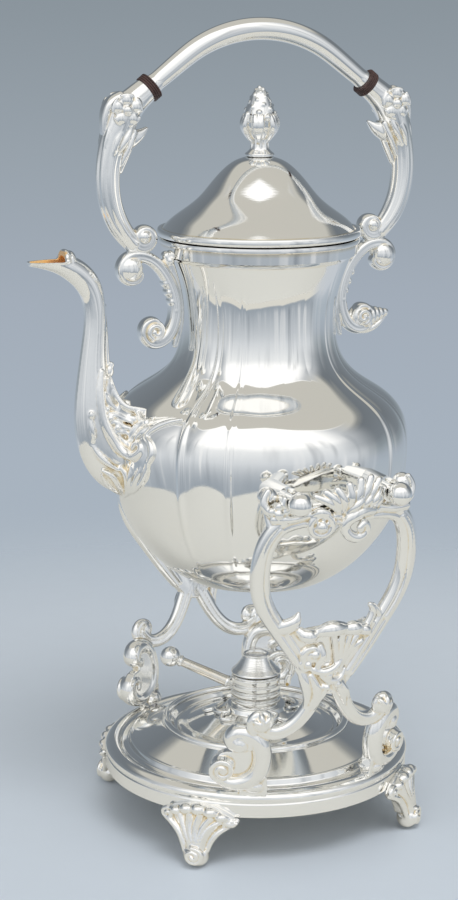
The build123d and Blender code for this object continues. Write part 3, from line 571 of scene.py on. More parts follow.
# soft upright folds in the tent's sides
flat = g.node("CombineXYZ", X=g.times(bearing, 1.6), Y=g.times(elevation, 0.22))
folds = g.noise(flat.outputs[0], 1.9, 2.0, 0.5)
band = g.times(
    g.spread(elevation, radians(-27), radians(-20)), g.spread(elevation, radians(30), radians(44), 1.0, 0.0)
)
side_on = g.spread(g.math("ABSOLUTE", bearing), 0.25, 0.95, 0.30, 1.0)
dark_fold = g.times(g.spread(folds, 0.32, 0.50, 1.0, 0.0), g.times(band, g.times(side_on, 0.6)))
light_fold = g.times(g.spread(folds, 0.54, 0.66), g.times(band, g.times(side_on, 0.5)))
front = g.blend(dark_fold, front, linear(104, 113, 124))
front = g.blend(light_fold, front, linear(250, 251, 252))
# the panel's ends turn grey, and behind the object the backdrop takes over
below_top = g.spread(raised_lift, radians(74), radians(80), 1.0, 0.0)
ends = g.spread(g.math("ABSOLUTE", g.math("SUBTRACT", bearing, 0.06)), 0.95, 1.5)
ends = g.times(g.times(ends, below_top), g.spread(elevation, radians(-6), radians(14)))
front = g.blend(g.times(ends, 0.75), front, linear(158, 165, 173))
frontness = g.spread(g.math("ABSOLUTE", bearing), 1.35, 2.05, 1.0, 0.0)
sky = g.blend(frontness, backdrop, front)
g.node("OutputWorld", Surface=g.node("Background", Color=sky, Strength=1.0).outputs[0])

# ---------------------------------------------------------------- floor
floor_radii = (1.0, 160.0, 400.0, 1050.0)
floor_points, floor_faces = skin([[(r * cos(a), r * sin(a), 0.0) for a in around(96)] for r in floor_radii])
floor_mesh = raw_mesh("floor", [(floor_points, floor_faces[:-1])])
floor = add_object("floor", floor_mesh)
floor.location.z = -0.0002
cloth, g, spot = blank_look("floor_sheet")
far = g.node("VectorMath", {"operation": "LENGTH"}, Vector=spot).outputs["Value"]
grain = g.noise(spot, 60.0, 3.0)
mirrored = g.node("LightPath").outputs["Is Glossy Ray"]
# painted reflection: the silver sees the sheet in a warmer, brighter colour than the camera does
sheet_and_painted_reflection = g.blend(mirrored, linear(211, 220, 230), linear(224, 224, 219))
pale = g.blend(g.spread(grain, 0.3, 0.7, 0.0, 0.05), sheet_and_painted_reflection, linear(200, 206, 214))
sheet = g.node("BsdfPrincipled", Base_Color=pale, Roughness=0.55)
clear = g.node("BsdfTransparent")
# the sheet fades out softly to the camera and ends crisply in the silver
softly = g.spread(far, 0.26, 0.62)
crisply = g.spread(far, 0.445, 0.460)
edge = g.plus(g.times(crisply, mirrored), g.times(softly, g.math("SUBTRACT", 1.0, mirrored)))
mixed = g.node("MixShader", Fac=edge)
g.tree.links.new(sheet.outputs[0], mixed.inputs[1])
g.tree.links.new(clear.outputs[0], mixed.inputs[2])
g.node("OutputMaterial", Surface=mixed.outputs[0])
floor_mesh.materials.append(cloth)

# ---------------------------------------------------------------- lamp
softbox = bpy.data.lights.new("overhead", "AREA")
softbox.shape = "ELLIPSE"
softbox.size, softbox.size_y = 1.2, 0.8
softbox.energy = 12.8
overhead = add_object("overhead", softbox)
overhead.location = out_of_view @ Vector((0.35, -0.9, 1.9))
overhead.rotation_euler = (overhead.location - Vector((0, 0, 0.15))).to_track_quat("Z", "Y").to_euler()
overhead.visible_glossy = False

# ---------------------------------------------------------------- kettle body
BELLY_RADIUS, BELLY_LEVEL, BELLY_DROP, BELLY_POWER = 73.1, 192, 78, 2.15
NECK_END = 277.0
STRIP = 9.5  # half width of a narrow strip, in degrees


def belly(z):
    drop = (BELLY_LEVEL - z) / BELLY_DROP
    return BELLY_RADIUS * (1 - abs(drop) ** BELLY_POWER)**(1 / BELLY_POWER)


lower = [(belly(z), 0, z) for z in (122, 125, 130, 137, 147, 158, 170, 182)]
upper = [(73.1, 0, 192), (71.1, 0, 201), (64.9, 0, 209.5), (56.4, 0, 215.5), (47.6, 0, 221.6), (41.1, 0, 229.3),
    (38, 0, 238.2), (37.2, 0, 249), (38.8, 0, 264), (43.4, 0, 278)]
wall = through(lower + upper, 260)[:, [0, 2]]
rim = [(46.4, 279.9), (46.9, 284.8), (47.7, 285.4), (47.9, 286.4), (47.6, 287.3), (46.8, 287.6), (42.3, 287.6)]


def ease(value, low, high):
    t = np.clip((value - low) / (high - low), 0, 1)
    return t * t * (3 - 2 * t)


def lobes(turn, z):
    """Four broad panels and four narrow strips; a thin rib stands in each crease, soft flutes up the neck."""
    offset = np.abs(np.degrees(turn) % 90 - 45)
    strip = (offset / STRIP)**2.0
    panel = ((45 - offset) / (45 - STRIP))**3.0
    left = NECK_END - z
    depth = 0.03 * ease(z, 140.0, 208.0) * ease(left, 0.0, 30.0)
    rib = 0.0175 * np.exp(-((offset - STRIP) / 1.25)**2) * ease(z, 126.0, 176.0) * ease(left, 0.0, 24.0)
    waves = 1 - np.abs(np.cos(np.radians(offset * 12.5)))
    flutes = 0.005 * waves * ease(z, 206.0, 240.0) * ease(left, 0.0, 22.0)
    return 1 - depth * np.where(offset < STRIP, strip, panel) + rib - flutes


slope = np.gradient(wall[:, 0], wall[:, 1])
inner = wall.copy()
inner[:, 0] -= 1.5 * np.sqrt(1 + slope**2)
inner = inner[(inner[:, 1] > 123.5) & (inner[:, 0] > 30.0)]
outline = list(wall) + rim + [(42.2, NECK_END)] + [p for p in inner[::-1] if p[1] < 276.0] + [(33, 122)]
turned_piece("kettle_skin", [lathe(outline, 720, lobes)], raised, "kettle", ["kettle_body"])

# ---------------------------------------------------------------- lid
dome = through([(45.8, 0, 291.4), (42.4, 0, 294.9), (35.2, 0, 300.3), (28.1, 0, 306.2), (23.4, 0, 311.8),
    (18.7, 0, 317.2), (14.9, 0, 320.7), (11.1, 0, 323.1), (6, 0, 324.8)], 80)[:, [0, 2]]
bead = [(47.5 + 0.9 * cos(a), 289.8 + 1.75 * sin(a)) for a in np.linspace(-pi / 2, pi / 2, 14)]
under = dome[::-1] - np.array([0.6, 1.3])
lid_outline = bead + [tuple(p) for p in dome] + [(2.1, 325), (2.1, 323.7)]
lid_outline += [tuple(p) for p in under if p[0] < 40.0] + [(40.4, 294.6), (40.4, 283.2), (41.6, 283.2),
    (41.6, 288)]
turned_piece("lid_dome", [lathe(lid_outline, 256)], spun, "lid", ["lid"])

# ---------------------------------------------------------------- base plate
plate = [(74.4, 35.2), (73, 36.2), (71, 36.7), (69, 36.4), (67.4, 35.5), (66.6, 34.9), (63.6, 35.3),
    (62.7, 38.4), (61.3, 38.6), (46.7, 45.6), (42.7, 45.6), (40.6, 43), (36.2, 43), (36.2, 41.5), (40.2, 41.5),
    (42.9, 44.1), (46.3, 44.1), (60.9, 37.1), (62.1, 34.5), (73.4, 34.5), (73.6, 24), (74.9, 24), (74.9, 30.4),
    (74.3, 31), (75.1, 31.8), (75.4, 33.2), (75.1, 34.4)]
turned_piece("base_dish", [lathe(soften(plate, 0.9, 6), 256)], spun, "stand", ["base_plate"])

# ---------------------------------------------------------------- cast frames
FRAME_BOW, FRAME_LEAN = 0.192, 0.157


def on_frame(x, z, out=0.0):
    """Point on the bowed, outward-leaning surface of the front frame, moved outward."""
    bow = sqrt(x * x + 16.0) - 4.0
    away = unit((FRAME_BOW * x / sqrt(x * x + 16.0), -1, -FRAME_LEAN))
    return tuple(np.array((x, -72.0 + FRAME_BOW * bow - FRAME_LEAN * (z - 38.0), z)) + out * away)


def on_foot(x, z, out=0.0):
    """Point on a scroll foot's surface, which turns back from the frame to follow the round plate."""
    way = 1 if x > 0 else -1
    reach = abs(x) - 0.115 * max(abs(x) - 27.0, 0.0)
    past = max(reach - 26.0, 0.0)
    point = np.array(on_frame(way * reach, z)) + np.array((0, 0.5 * (sqrt(past**2 + 4.0) - 2.0), 0))
    away = unit((way * (FRAME_BOW + 0.5 * past / sqrt(past**2 + 4.0)), -1, -FRAME_LEAN))
    return tuple(point + out * away)


FRAME_UP = (0, -1, -FRAME_LEAN)
TO_FRONT = (0, -1, 0)
ARM = [(9.5, 95.5), (14.6, 102.5), (20.6, 111.2), (26.8, 120.4), (32.2, 128.8), (35.6, 137), (36.9, 145.5),
    (36.7, 154), (34.7, 163), (30.2, 169.8), (23, 172.8), (12, 173.6), (3, 173)]
ARM_SIZES = [3.2, 3.7, 4.1, 4.3, 4.4, 4.5, 4.6, 4.6, 4.6, 4.5, 4.2, 3.7, 3.2]
LEG = [(1.8, 99), (3.6, 91), (6.6, 84), (10.2, 77.2), (15.5, 70.8), (22.6, 67.4), (29, 68.6), (32.6, 72.6)]
LEG_SIZES = [3.6, 3.9, 3.9, 3.7, 3.6, 3.5, 3.4, 3.2]
RAYS = [(1.2, 5.4, 0.7), (3.4, 4.4, 1.1), (5.0, 1.4, 0.8)]  # reach, out, size


def frame_side(side):
    """Arm, leg and scroll foot on one side of the front casting."""
    parts = []
    add = parts.append
    front, foot = Surface(parts, on_frame, side), Surface(parts, on_foot, side)
    arm = [(*point, 0, width, 3.4) for point, width in zip(ARM, ARM_SIZES)]
    leg = [(*point, 0, width, 3.1) for point, width in zip(LEG, LEG_SIZES)]
    add(strap(front(arm), FRAME_UP, 150, 44, 0.2, 0.26))
    front.rod(90, 10, *[(*point, 3, 0.9) for point in ARM[3:10]])
    add(strap(front(leg), FRAME_UP, 100, 40, 0.16, 0.24))
    # leaf laid along the upper leg
    for lean, reach in ((-1.9, 9), (0, 12.5), (1.9, 9.5)):
        front.rod(24, 10, (3.0 + 0.3 * lean, 92, 2.6, 1.2), (5.6 + 0.8 * lean, 92.0 - 0.55 * reach, 3.4, 1.5),
            (7.6 + lean, 92.0 - reach, 2.8, 0.7))
    # curled end of the leg: a leafy ball held in a hook
    front.rod(60, 12, *curl((30.6, 73.6), 5.2, 1.6, 2.7, 1.5, -50, 1.15, 0.2, 2.2))
    front.blob(30.8, 74, 1.4, (4.7, 4.1, 4.9))
    for turn in (20, 75, 130):
        a = radians(turn)
        rays = [(30.8 + r * cos(a), 74.0 + r * sin(a), out, size) for r, out, size in RAYS]
        front.rod(18, 8, *rays)
    # scroll foot: one rounded band from the upper roll down the straight inner edge and out to the lower curl
    band = [(40.6, 60.4, 3.1), (43.2, 62.4, 3.3), (42.2, 66.2, 3.7), (37.6, 67.4, 4.1), (32.4, 64.8, 4.4),
        (29.4, 59, 4.5), (28.8, 52.4, 4.5), (30.6, 46.4, 4.4), (35.2, 42.4, 4.2), (41, 41.4, 3.9),
        (46.4, 43.6, 3.5), (48.8, 48.2, 3.1), (46.6, 52.2, 2.7), (42.9, 51, 2.3), (43.4, 48, 1.8)]
    add(strap(foot([(x, z, 0.6, w, 4.9) for x, z, w in band]), (0.5 * side, -1, -FRAME_LEAN), 150, 36,
        power=2.0))
    back = [(27, 35.9), (27, 62), (33, 67), (41, 66.6), (44, 61.6), (41.6, 57), (47, 56.2), (51, 51.6),
        (50.6, 46.4), (46.4, 41.8), (41, 38.6), (38, 35.9)]
    add(slab([(x * side, z) for x, z in back], on_foot, -3.2, 1.6))
    add(slab([(26.0 * side, 35.9), (26.4 * side, 46), (34.0 * side, 44), (38.0 * side, 35.9)], on_foot, -3.4,
        3.2))
    foot.blob(38.4, 62.4, 2.2, (5, 4.6, 4.6))
    foot.blob(45.2, 48.6, 3, (2.9, 3.4, 2.9))
    foot.rod(60, 10, *curl((45.2, 48.6), 5.6, 1.6, 1.3, 0.8, -60, 1.5, 4.4, 5.8))
    foot.rod(50, 10, *curl((38.4, 62.2), 4.6, 1.2, 1.2, 0.8, 200, -1.1, 4.2, 6))
    add(blob((side * 30.8, -64.2, 40), (5.8, 6.6, 4.1)))
    # cradle that a trunnion drops into
    hook = [(24.8 + 4.5 * cos(a), 182.0 + 4.5 * sin(a)) for a in np.linspace(radians(158), radians(382), 14)]
    add(strap([(side * x, -89, z, 1.55, 3.5) for x, z in hook], TO_FRONT, 50, 28))
    return parts


def frame_casting():
    parts = frame_side(-1) + frame_side(1)
    add = parts.append
    here = Surface(parts, on_frame)
    # rocaille shell between the arms: a dished field, rolled lobes, flutes and a scrolled leaf
    field = [(-19.5, 121.5), (-16, 118), (-4, 119.6), (10, 117.6), (18, 120), (24, 117.5), (15, 103), (9.6, 92),
        (4, 86.6), (0, 85.6), (-4, 86.6), (-9.6, 92), (-15, 103), (-24, 118)]
    add(slab(field, on_frame, -2.6, 2.3))
    for rows in (
        [(-16.8, 119, 2.6, 2.4), (-13.2, 117.2, 3.8, 3.6), (-10.4, 117.6, 2.8, 2.6)],
        [(-8.2, 118.6, 2.8, 2.6), (-3, 120.2, 4.2, 3.9), (1.8, 119.6, 3.2, 3)],
        [(3.6, 118.4, 3.2, 2.6), (7.6, 119, 4.2, 3.5), (10.6, 117.4, 3, 2.5)],
        [(11.8, 116.6, 2.8, 2.2), (14.6, 116.4, 3.4, 2.7), (16.6, 114.4, 2.4, 1.8)],
        [(-15.4, 100.6, 1.6, 1.6), (-13, 93.6, 2.6, 2.5), (-11.2, 86.6, 2.4, 2.2), (-11.6, 80.2, 1.6, 0.9)],
        [(-10.2, 96.4, 2.8, 1.6), (-7.4, 90.4, 3.6, 2.1), (-7.6, 84.4, 3.4, 1.7), (-9.2, 79.6, 2.4, 0.8)],
    ):
        here.rod(30, 14, *rows)
    for index, (tip_x, tip_z) in enumerate(((-1.5, 117.2), (2.6, 116.4), (6.6, 115.6), (10.2, 113.6),
            (13.2, 110.6))):
        here.rod(36, 12, (1.2 + 0.5 * index, 98, 2.4, 1), (0.5 * (tip_x + 2.0), 107, 2.6, 1.4),
            (tip_x, tip_z, 2.6, 1.7))
    add(strap(here([(-28.4, 121.6, 0.4, 2.6, 2.8), (-22.8, 121.8, 1.6, 3.6, 2.8), (-18.8, 125.6, 1.6, 2.2, 2),
        (-18.2, 127.6, 1.4, 1, 1)]), FRAME_UP, 24, 20))
    here.rod(34, 12, (15.4, 116.6, 1.8, 1.9), (18.4, 121, 1.8, 1.9), (19.3, 125.6, 1.6, 1.7),
        (17.4, 127.8, 1.8, 1.3))
    here.rod(24, 12, (24.8, 119.6, 0.8, 1.5), (22.4, 123.4, 1.2, 1.5), (19.6, 127, 1.4, 1.2))
    for rows in (
        curl((-10.6, 107.2), 4.2, 0.9, 1.7, 1.1, 200, -1.35, 3, 3.6),
        curl((-12.8, 102.2), 3.1, 0.7, 1.5, 1, 60, 1.2, 3, 3.4),
        [(-7.2, 111.4, 2.6, 1.4), (-6, 106.4, 3.6, 2), (-7.6, 101.4, 3.4, 1.6), (-4.6, 96.6, 3, 1.2)],
        [(-9.6, 99.8, 3.2, 1.6), (-5, 98.6, 3.8, 2), (0.6, 100.8, 3.4, 1.7), (3.6, 104.4, 2.6, 1)],
        [(-5.4, 97, 3.4, 1.8), (-1, 93.6, 3.6, 1.9), (3.6, 94.6, 3, 1.4), (5.6, 98, 2.6, 0.9)],
        [(-13.6, 99.4, 1.4, 1.6), (-15, 98, 1.6, 1.5), (-17.2, 99.8, 1.2, 0.8)],
    ):
        here.rod(46, 12, *rows)
    for x, z, r in ((-9.5, 107.7, 2), (-12.4, 102.9, 1.7), (-2.6, 96.8, 2.1), (1.8, 91.6, 1.8),
            (-2.8, 90.6, 1.6)):
        here.blob(x, z, 4, r)
    # crest: band, rosette, hanging scroll, fan of frill leaves
    add(slab([(-21, 171), (-21, 179), (-12, 179.6), (-2, 183), (8, 186.4), (16, 186.4), (16.4, 178), (16, 171)],
        on_frame, -2.6, 0.9))
    here.rod(60, 12, *curl((-11.8, 171), 4.9, 4.9, 1.6, 1.6, 0, 1, 3.2))
    here.blob(-11.8, 170.6, 4, (2.9, 2.6, 2.9))
    for turn in range(6):
        a = radians(60 * turn + 20)
        here.blob(-11.8 + 3.1 * cos(a), 170.9 + 3.1 * sin(a), 3.4, 1.15)
    here.rod(26, 12, (-9.6, 176.4, 2.8, 2), (-13, 177.4, 3.2, 2.1), (-16.6, 175.2, 2.4, 1.4))
    here.rod(90, 14, (12, 175.6, 2.4, 2.8), (6.6, 176.4, 3.4, 3.2), (1, 174.2, 3.8, 3), (-1.2, 170.6, 3.4, 2.6),
        (0.6, 165.8, 3.6, 2.7), (5.2, 164.4, 4.2, 2.6), (8.2, 167.6, 4.8, 2.2), (6.4, 171.2, 5.4, 1.9),
        (3.9, 169.6, 6, 1.6))
    here.blob(4.7, 168.6, 5.6, 1.7)
    tips = [(-15, 184.2), (-10.6, 186), (-5.6, 187), (-0.4, 188.8), (5, 190.4), (10.2, 191), (14.8, 189.4)]
    for index, (x, z) in enumerate(tips):
        root = -4.4 + 1.2 * index
        here.rod(30, 12, (root, 176.4, 2.2, 1.1), (0.55 * x + 0.45 * root + 0.8, 0.5 * (z + 177.0) + 1.2, 3.6,
            1.9), (x, z, 2, 1.8))
    for x, z in ((9, 181.6), (13.2, 182), (4.6, 181)):
        here.rod(24, 12, (x - 5.4, z - 4.6, 3.2, 1.2), (x - 1.4, z - 0.4, 4.6, 2), (x + 2.4, z + 3.4, 3, 1))
    here.rod(24, 12, (14, 177.4, 2, 1.7), (16, 180.2, 2.8, 1.8), (15.4, 184.2, 2.4, 1.3))
    # ends of the crest: a small sphere held by a curl, on the left over a five-petalled flower
    for side in (-1, 1):
        edge = Surface(parts, on_frame, side)
        add(blob((side * 33.8, -83.2, 183.2), 4.7))
        edge.rod(34, 12, (31.4, 175.2, -0.6, 2.4), (35.4, 177.6, -0.4, 2.2), (37.4, 182, -1.4, 1.8),
            (35.6, 186.4, -2.4, 1.4))
        add(rod([(side * 33.0, -82, 180, 2.6), (side * 33.4, -84.4, 176, 2.8), (side * 33.0, -86.6, 171.6, 3)],
            20, 12))
        edge.rod(30, 12, (17.2, 176, 1.4, 2), (24.6, 174.6, 2, 2.2), (32.6, 174.4, 1.4, 2.2))
    flower = (-31.2, 177.2)
    here.blob(*flower, 2.6, (2.1, 1.9, 2.1))
    for petal in range(5):
        a = radians(72 * petal + 90)
        here.blob(flower[0] + 3.3 * cos(a), flower[1] + 3.3 * sin(a), 1.8, (1.9, 1.5, 1.9))
    return parts


frame_mesh = cast_mesh("frame_casting", frame_casting(), 0.42, 3)
finish_piece("frame_front_casting", frame_mesh, cast, "stand", ["frame_front"])
back_mesh = frame_mesh.copy()
back_mesh.transform(Matrix.Rotation(pi, 4, "Z"))
finish_piece("frame_back_casting", back_mesh, cast, "stand", ["frame_back"])


# ---------------------------------------------------------------- shell feet
PLATE_BAND = 75.4


def on_band(u, z, out=0.0):
    """Point on the base's band, u millimetres round from the middle of a foot that points to +X."""
    turn = u / 77.0
    reach = PLATE_BAND + out
    return (reach * cos(turn), reach * sin(turn), z)


def foot_casting():
    parts = []
    here = Surface(parts, on_band)
    add = parts.append
    shell = here([(0, 30.4, 1.4, 13.6, 1.2), (0, 25.5, 2.4, 12, 2), (0, 19, 3.2, 7.6, 3.2),
        (0, 12.5, 3.8, 5.2, 4), (0, 7.2, 4.4, 4.6, 4.6)])
    add(strap(shell, (1, 0, 0), 50, 40))
    add(rod([(79.9, -0.9, 5.7, 5.3), (79.9, 0, 5.7, 5.4), (79.9, 0.9, 5.7, 5.3)], 12, 28))
    add(slab([(-19, 25), (-14, 31), (-5, 34), (6, 34), (14, 30), (19, 26), (11, 19), (6, 9), (-6, 9),
        (-11, 19)], on_band, -0.4, 3.4))
    # rolled lobes along the shell's edge, soft flutes that swing down into the toe
    for u, z, size in ((-10.8, 29.2, 2.7), (-5.4, 31.4, 3.3), (0.4, 32, 3.5), (6.2, 31, 3.2),
            (11.4, 28.6, 2.7)):
        here.rod(20, 14, (u - 2.0, z - 0.9, 2.4, size * 0.75), (u, z, 3.4, size),
            (u + 2.2, z - 0.7, 2.4, size * 0.75))
    for u, z, size in ((-8.6, 27.6, 1.5), (-3.6, 28.6, 1.7), (1.6, 28.8, 1.8), (6.6, 27.6, 1.6),
            (10.8, 25.6, 1.4)):
        here.rod(40, 12, (u, z, 3.8, size), (0.62 * u - 1.0, 21.6, 4.8, size),
            (0.34 * u - 0.6, 15, 6.4, size * 0.8), (0.2 * u, 10.4, 7.6, size * 0.5))
    # left lobe curls over and runs down as a rope; right lobe opens into three small ridges
    here.rod(46, 12, *curl((-15.2, 26), 3.4, 0.8, 1.5, 1, 60, 1.25, 2.4, 4))
    here.rod(50, 14, (-17.6, 24.6, 2, 1.8), (-13.6, 22.4, 3, 2), (-9, 17.8, 4, 1.9), (-6.4, 12, 5, 1.6),
        (-5.4, 7.6, 5.6, 1.2))
    here.rod(24, 14, (13.4, 25.8, 2.6, 2), (16.2, 24.6, 2.4, 2.2), (18.4, 26.4, 1.8, 1.5))
    for step in range(3):
        here.rod(12, 10, (12.6 + 1.9 * step, 23.6 + 0.5 * step, 3.2, 0.9), (14.4 + 2.0 * step,
            27.4 - 0.9 * step, 3.4, 1))
    here.rod(40, 12, (14.4, 22.6, 2.2, 1.4), (10.2, 19.4, 3.2, 1.6), (7, 14.4, 4.2, 1.5), (5.4, 8.8, 5.2, 1.2))
    here.rod(70, 10, *curl((0, 6.6), 4.4, 0.8, 1.2, 0.9, 100, -1.7, 9, 10, 26))
    return parts


foot_mesh = cast_mesh("foot_casting", foot_casting(), 0.4, 2)
for vertex in foot_mesh.vertices:
    vertex.co.z = max(vertex.co.z - 0.16 * max(vertex.co.z - 0.008, 0.0), 5e-05)
for foot_name, bearing in (("foot_front_left", 225), ("foot_front_right", 315), ("foot_back_right", 45),
        ("foot_back_left", 135)):
    mesh = foot_mesh.copy()
    mesh.transform(Matrix.Rotation(radians(bearing), 4, "Z"))
    finish_piece(foot_name + "_shell", mesh, cast, "stand", [foot_name])


# ---------------------------------------------------------------- spout
def on_side(x, z, out=0.0):
    """Point in the kettle's own plane, moved toward the front."""
    return (x, -out, z)


def on_back(x, z, out=0.0):
    return (x, out, z)


SPOUT = [
    # x, z, half height, half width, run along x and z
    (-60, 187.5, 20.6, 12.6, -1, 0), (-72, 190.5, 19.4, 11.2, -0.93, 0.36),
    (-82, 203, 13.5, 9.4, -0.62, 0.79), (-84.8, 220, 8.4, 7.5, -0.16, 0.99),
    (-84.2, 240, 5.8, 5.8, 0.02, 1), (-83.4, 257, 5.2, 5.3, -0.06, 1), (-86.6, 269.4, 5.8, 5.4, -0.5, 0.87),
    (-93.4, 276.4, 5.7, 5.9, -0.82, 0.57), (-103, 280.4, 4.5, 6.2, -0.98, 0.2),
    (-114.6, 281.5, 2.3, 3.3, -0.98, 0.2),
]


def spout_rings(inset, count=110, sides=64):
    """Rings of the spout's body; its long neck is softly faceted."""
    rows = through([(x, 0, *rest) for x, *rest in SPOUT], count)
    turn = around(sides)
    run = unit(np.stack([rows[:, 5], 0 * rows[:, 5], rows[:, 6]], -1))
    rise = np.stack([-run[:, 2], 0 * run[:, 0], run[:, 0]], -1)
    facet = np.clip((rows[:, 2] - 196) / 12, 0, 1) * np.clip((258 - rows[:, 2]) / 4, 0, 1)
    ridge = 1 - 0.032 * facet[:, None] * (1 - np.abs(np.cos(4 * turn)))[None, :]
    high = (rows[:, 3] - inset)[:, None] * np.sin(turn) * ridge
    wide = (rows[:, 4] - inset)[:, None] * np.cos(turn) * ridge
    return rows[:, None, :3] + high[..., None] * rise[:, None] + wide[..., None] * np.array((0, 1, 0))


LEAF_WORK = [
    # rows of x, z, out, size
    # strong C-scroll that carries the neck, with its curl and inner rib
    [(-82.3, 229.6, 6.3, 1), (-83.5, 221.8, 7.2, 1.7), (-83.3, 212.9, 8.2, 2), (-82.1, 205.7, 9, 2.1),
     (-79.4, 199.3, 9.8, 2.3), (-75.6, 193.6, 11, 2.4), (-72.3, 190.8, 15.1, 2.4), (-70.6, 192.3, 20.6, 2.1),
     (-69.4, 195.6, 22.3, 1.8), (-70.2, 197.2, 18.9, 1.5), (-71.4, 194.8, 16.6, 1.3)],
    [(-81.6, 212.8, 8.4, 0.6), (-79.7, 205.5, 9.1, 0.9), (-76.9, 200.2, 10.1, 1.1), (-73.1, 196.2, 10.9, 1.1),
     (-71.6, 195, 13.4, 0.8)],
    # ridge of the web and the acanthus leaves under it
    [(-81.3, 219.3, 6.4, 0.9), (-78.6, 214.2, 7, 1.3), (-74.8, 210.3, 7.2, 1.5), (-70.6, 207.6, 8, 1.5),
     (-66.9, 206.4, 11, 1.6), (-64.9, 206.8, 17.8, 1.4)],
    [(-82, 209.4, 8.8, 0.8), (-77.6, 209, 8.4, 1.5), (-72.8, 206.8, 8.6, 1.4), (-69.6, 205.2, 10.2, 0.8)],
    [(-80.9, 205.6, 9.2, 0.8), (-76.9, 205.6, 9.4, 1.6), (-73.6, 203.4, 10.4, 1.5), (-70.4, 203, 12, 0.8)],
    [(-78.9, 201, 9.9, 0.8), (-75.5, 201.4, 10.3, 1.5), (-71.7, 200.4, 11.4, 0.8)],
    [(-71.3, 198.9, 12.4, 0.8), (-69.7, 202.2, 13.4, 1.6), (-67.6, 204.4, 14.6, 1.6),
     (-65.6, 205.4, 18.4, 0.9)],
    [(-70.3, 199.6, 17.9, 0.8), (-68.2, 202.2, 19.6, 1.6), (-65.9, 203.9, 21.6, 1.6),
     (-64.2, 205.4, 23.6, 0.9)],
    # rolled border from the web to the plate, down its edge, and the strap that reaches along the belly
    [(-66.6, 210.4, 8.6, 1.3), (-66.2, 209, 11.2, 1.5), (-66.2, 207.2, 14.2, 1.5), (-65.2, 206.4, 18.2, 1.3)],
    [(-67.5, 200.6, 23.8, 1.1), (-66.8, 197.9, 27.3, 1.5), (-66.9, 194, 29.1, 1.6),
     (-67.8, 189.8, 27.6, 1.3)],
    [(-67, 201.7, 23.1, 1.2), (-64.6, 204.2, 24.8, 1.6), (-61.7, 206.5, 27.2, 1.6), (-58.3, 208.5, 30.6, 1.4),
     (-54.5, 210, 34.3, 0.9)],
    # lens drop and palmette
    [(-88.6, 208.8, 7, 0.7), (-88.2, 204.3, 7.8, 1.2), (-87.6, 199.7, 8, 1), (-87.6, 195.8, 7.2, 0.6)],
    [(-87.6, 195, 7.2, 0.8), (-85.1, 190.8, 8.1, 1.5), (-81.2, 186.6, 9.6, 1.4), (-76.4, 183, 10.6, 0.7)],
    [(-83.4, 182.9, 8.4, 0.7), (-79.3, 180.4, 9, 1.4), (-75.4, 175.4, 7.6, 1.5), (-70.6, 168.9, 2.5, 0.8)],
    [(-83.3, 180.2, 7.4, 0.7), (-80, 175.6, 5.4, 1.2), (-71.4, 168.6, 1, 0.8)],
    [(-75.5, 184.3, 10.9, 0.7), (-72.8, 180, 11, 1.6), (-71.6, 175.4, 9.9, 1.7), (-70.6, 170, 6.3, 0.9)],
    [(-71.9, 184.6, 15.2, 0.8), (-71.6, 179.6, 14.2, 1.8), (-71.2, 174.8, 11.6, 1.7), (-70.6, 170, 7.3, 0.9)],
    [(-69.5, 187, 22.6, 0.8), (-70.1, 182.2, 20.4, 1.7), (-70.6, 176.8, 16.2, 1.6),
     (-70.5, 171.2, 10.2, 0.8)],
    [(-68.2, 189.4, 26.9, 1), (-68.8, 182.8, 25, 1.5), (-69.4, 177.3, 20.2, 1.5), (-69.9, 172, 13.2, 0.8)],
]


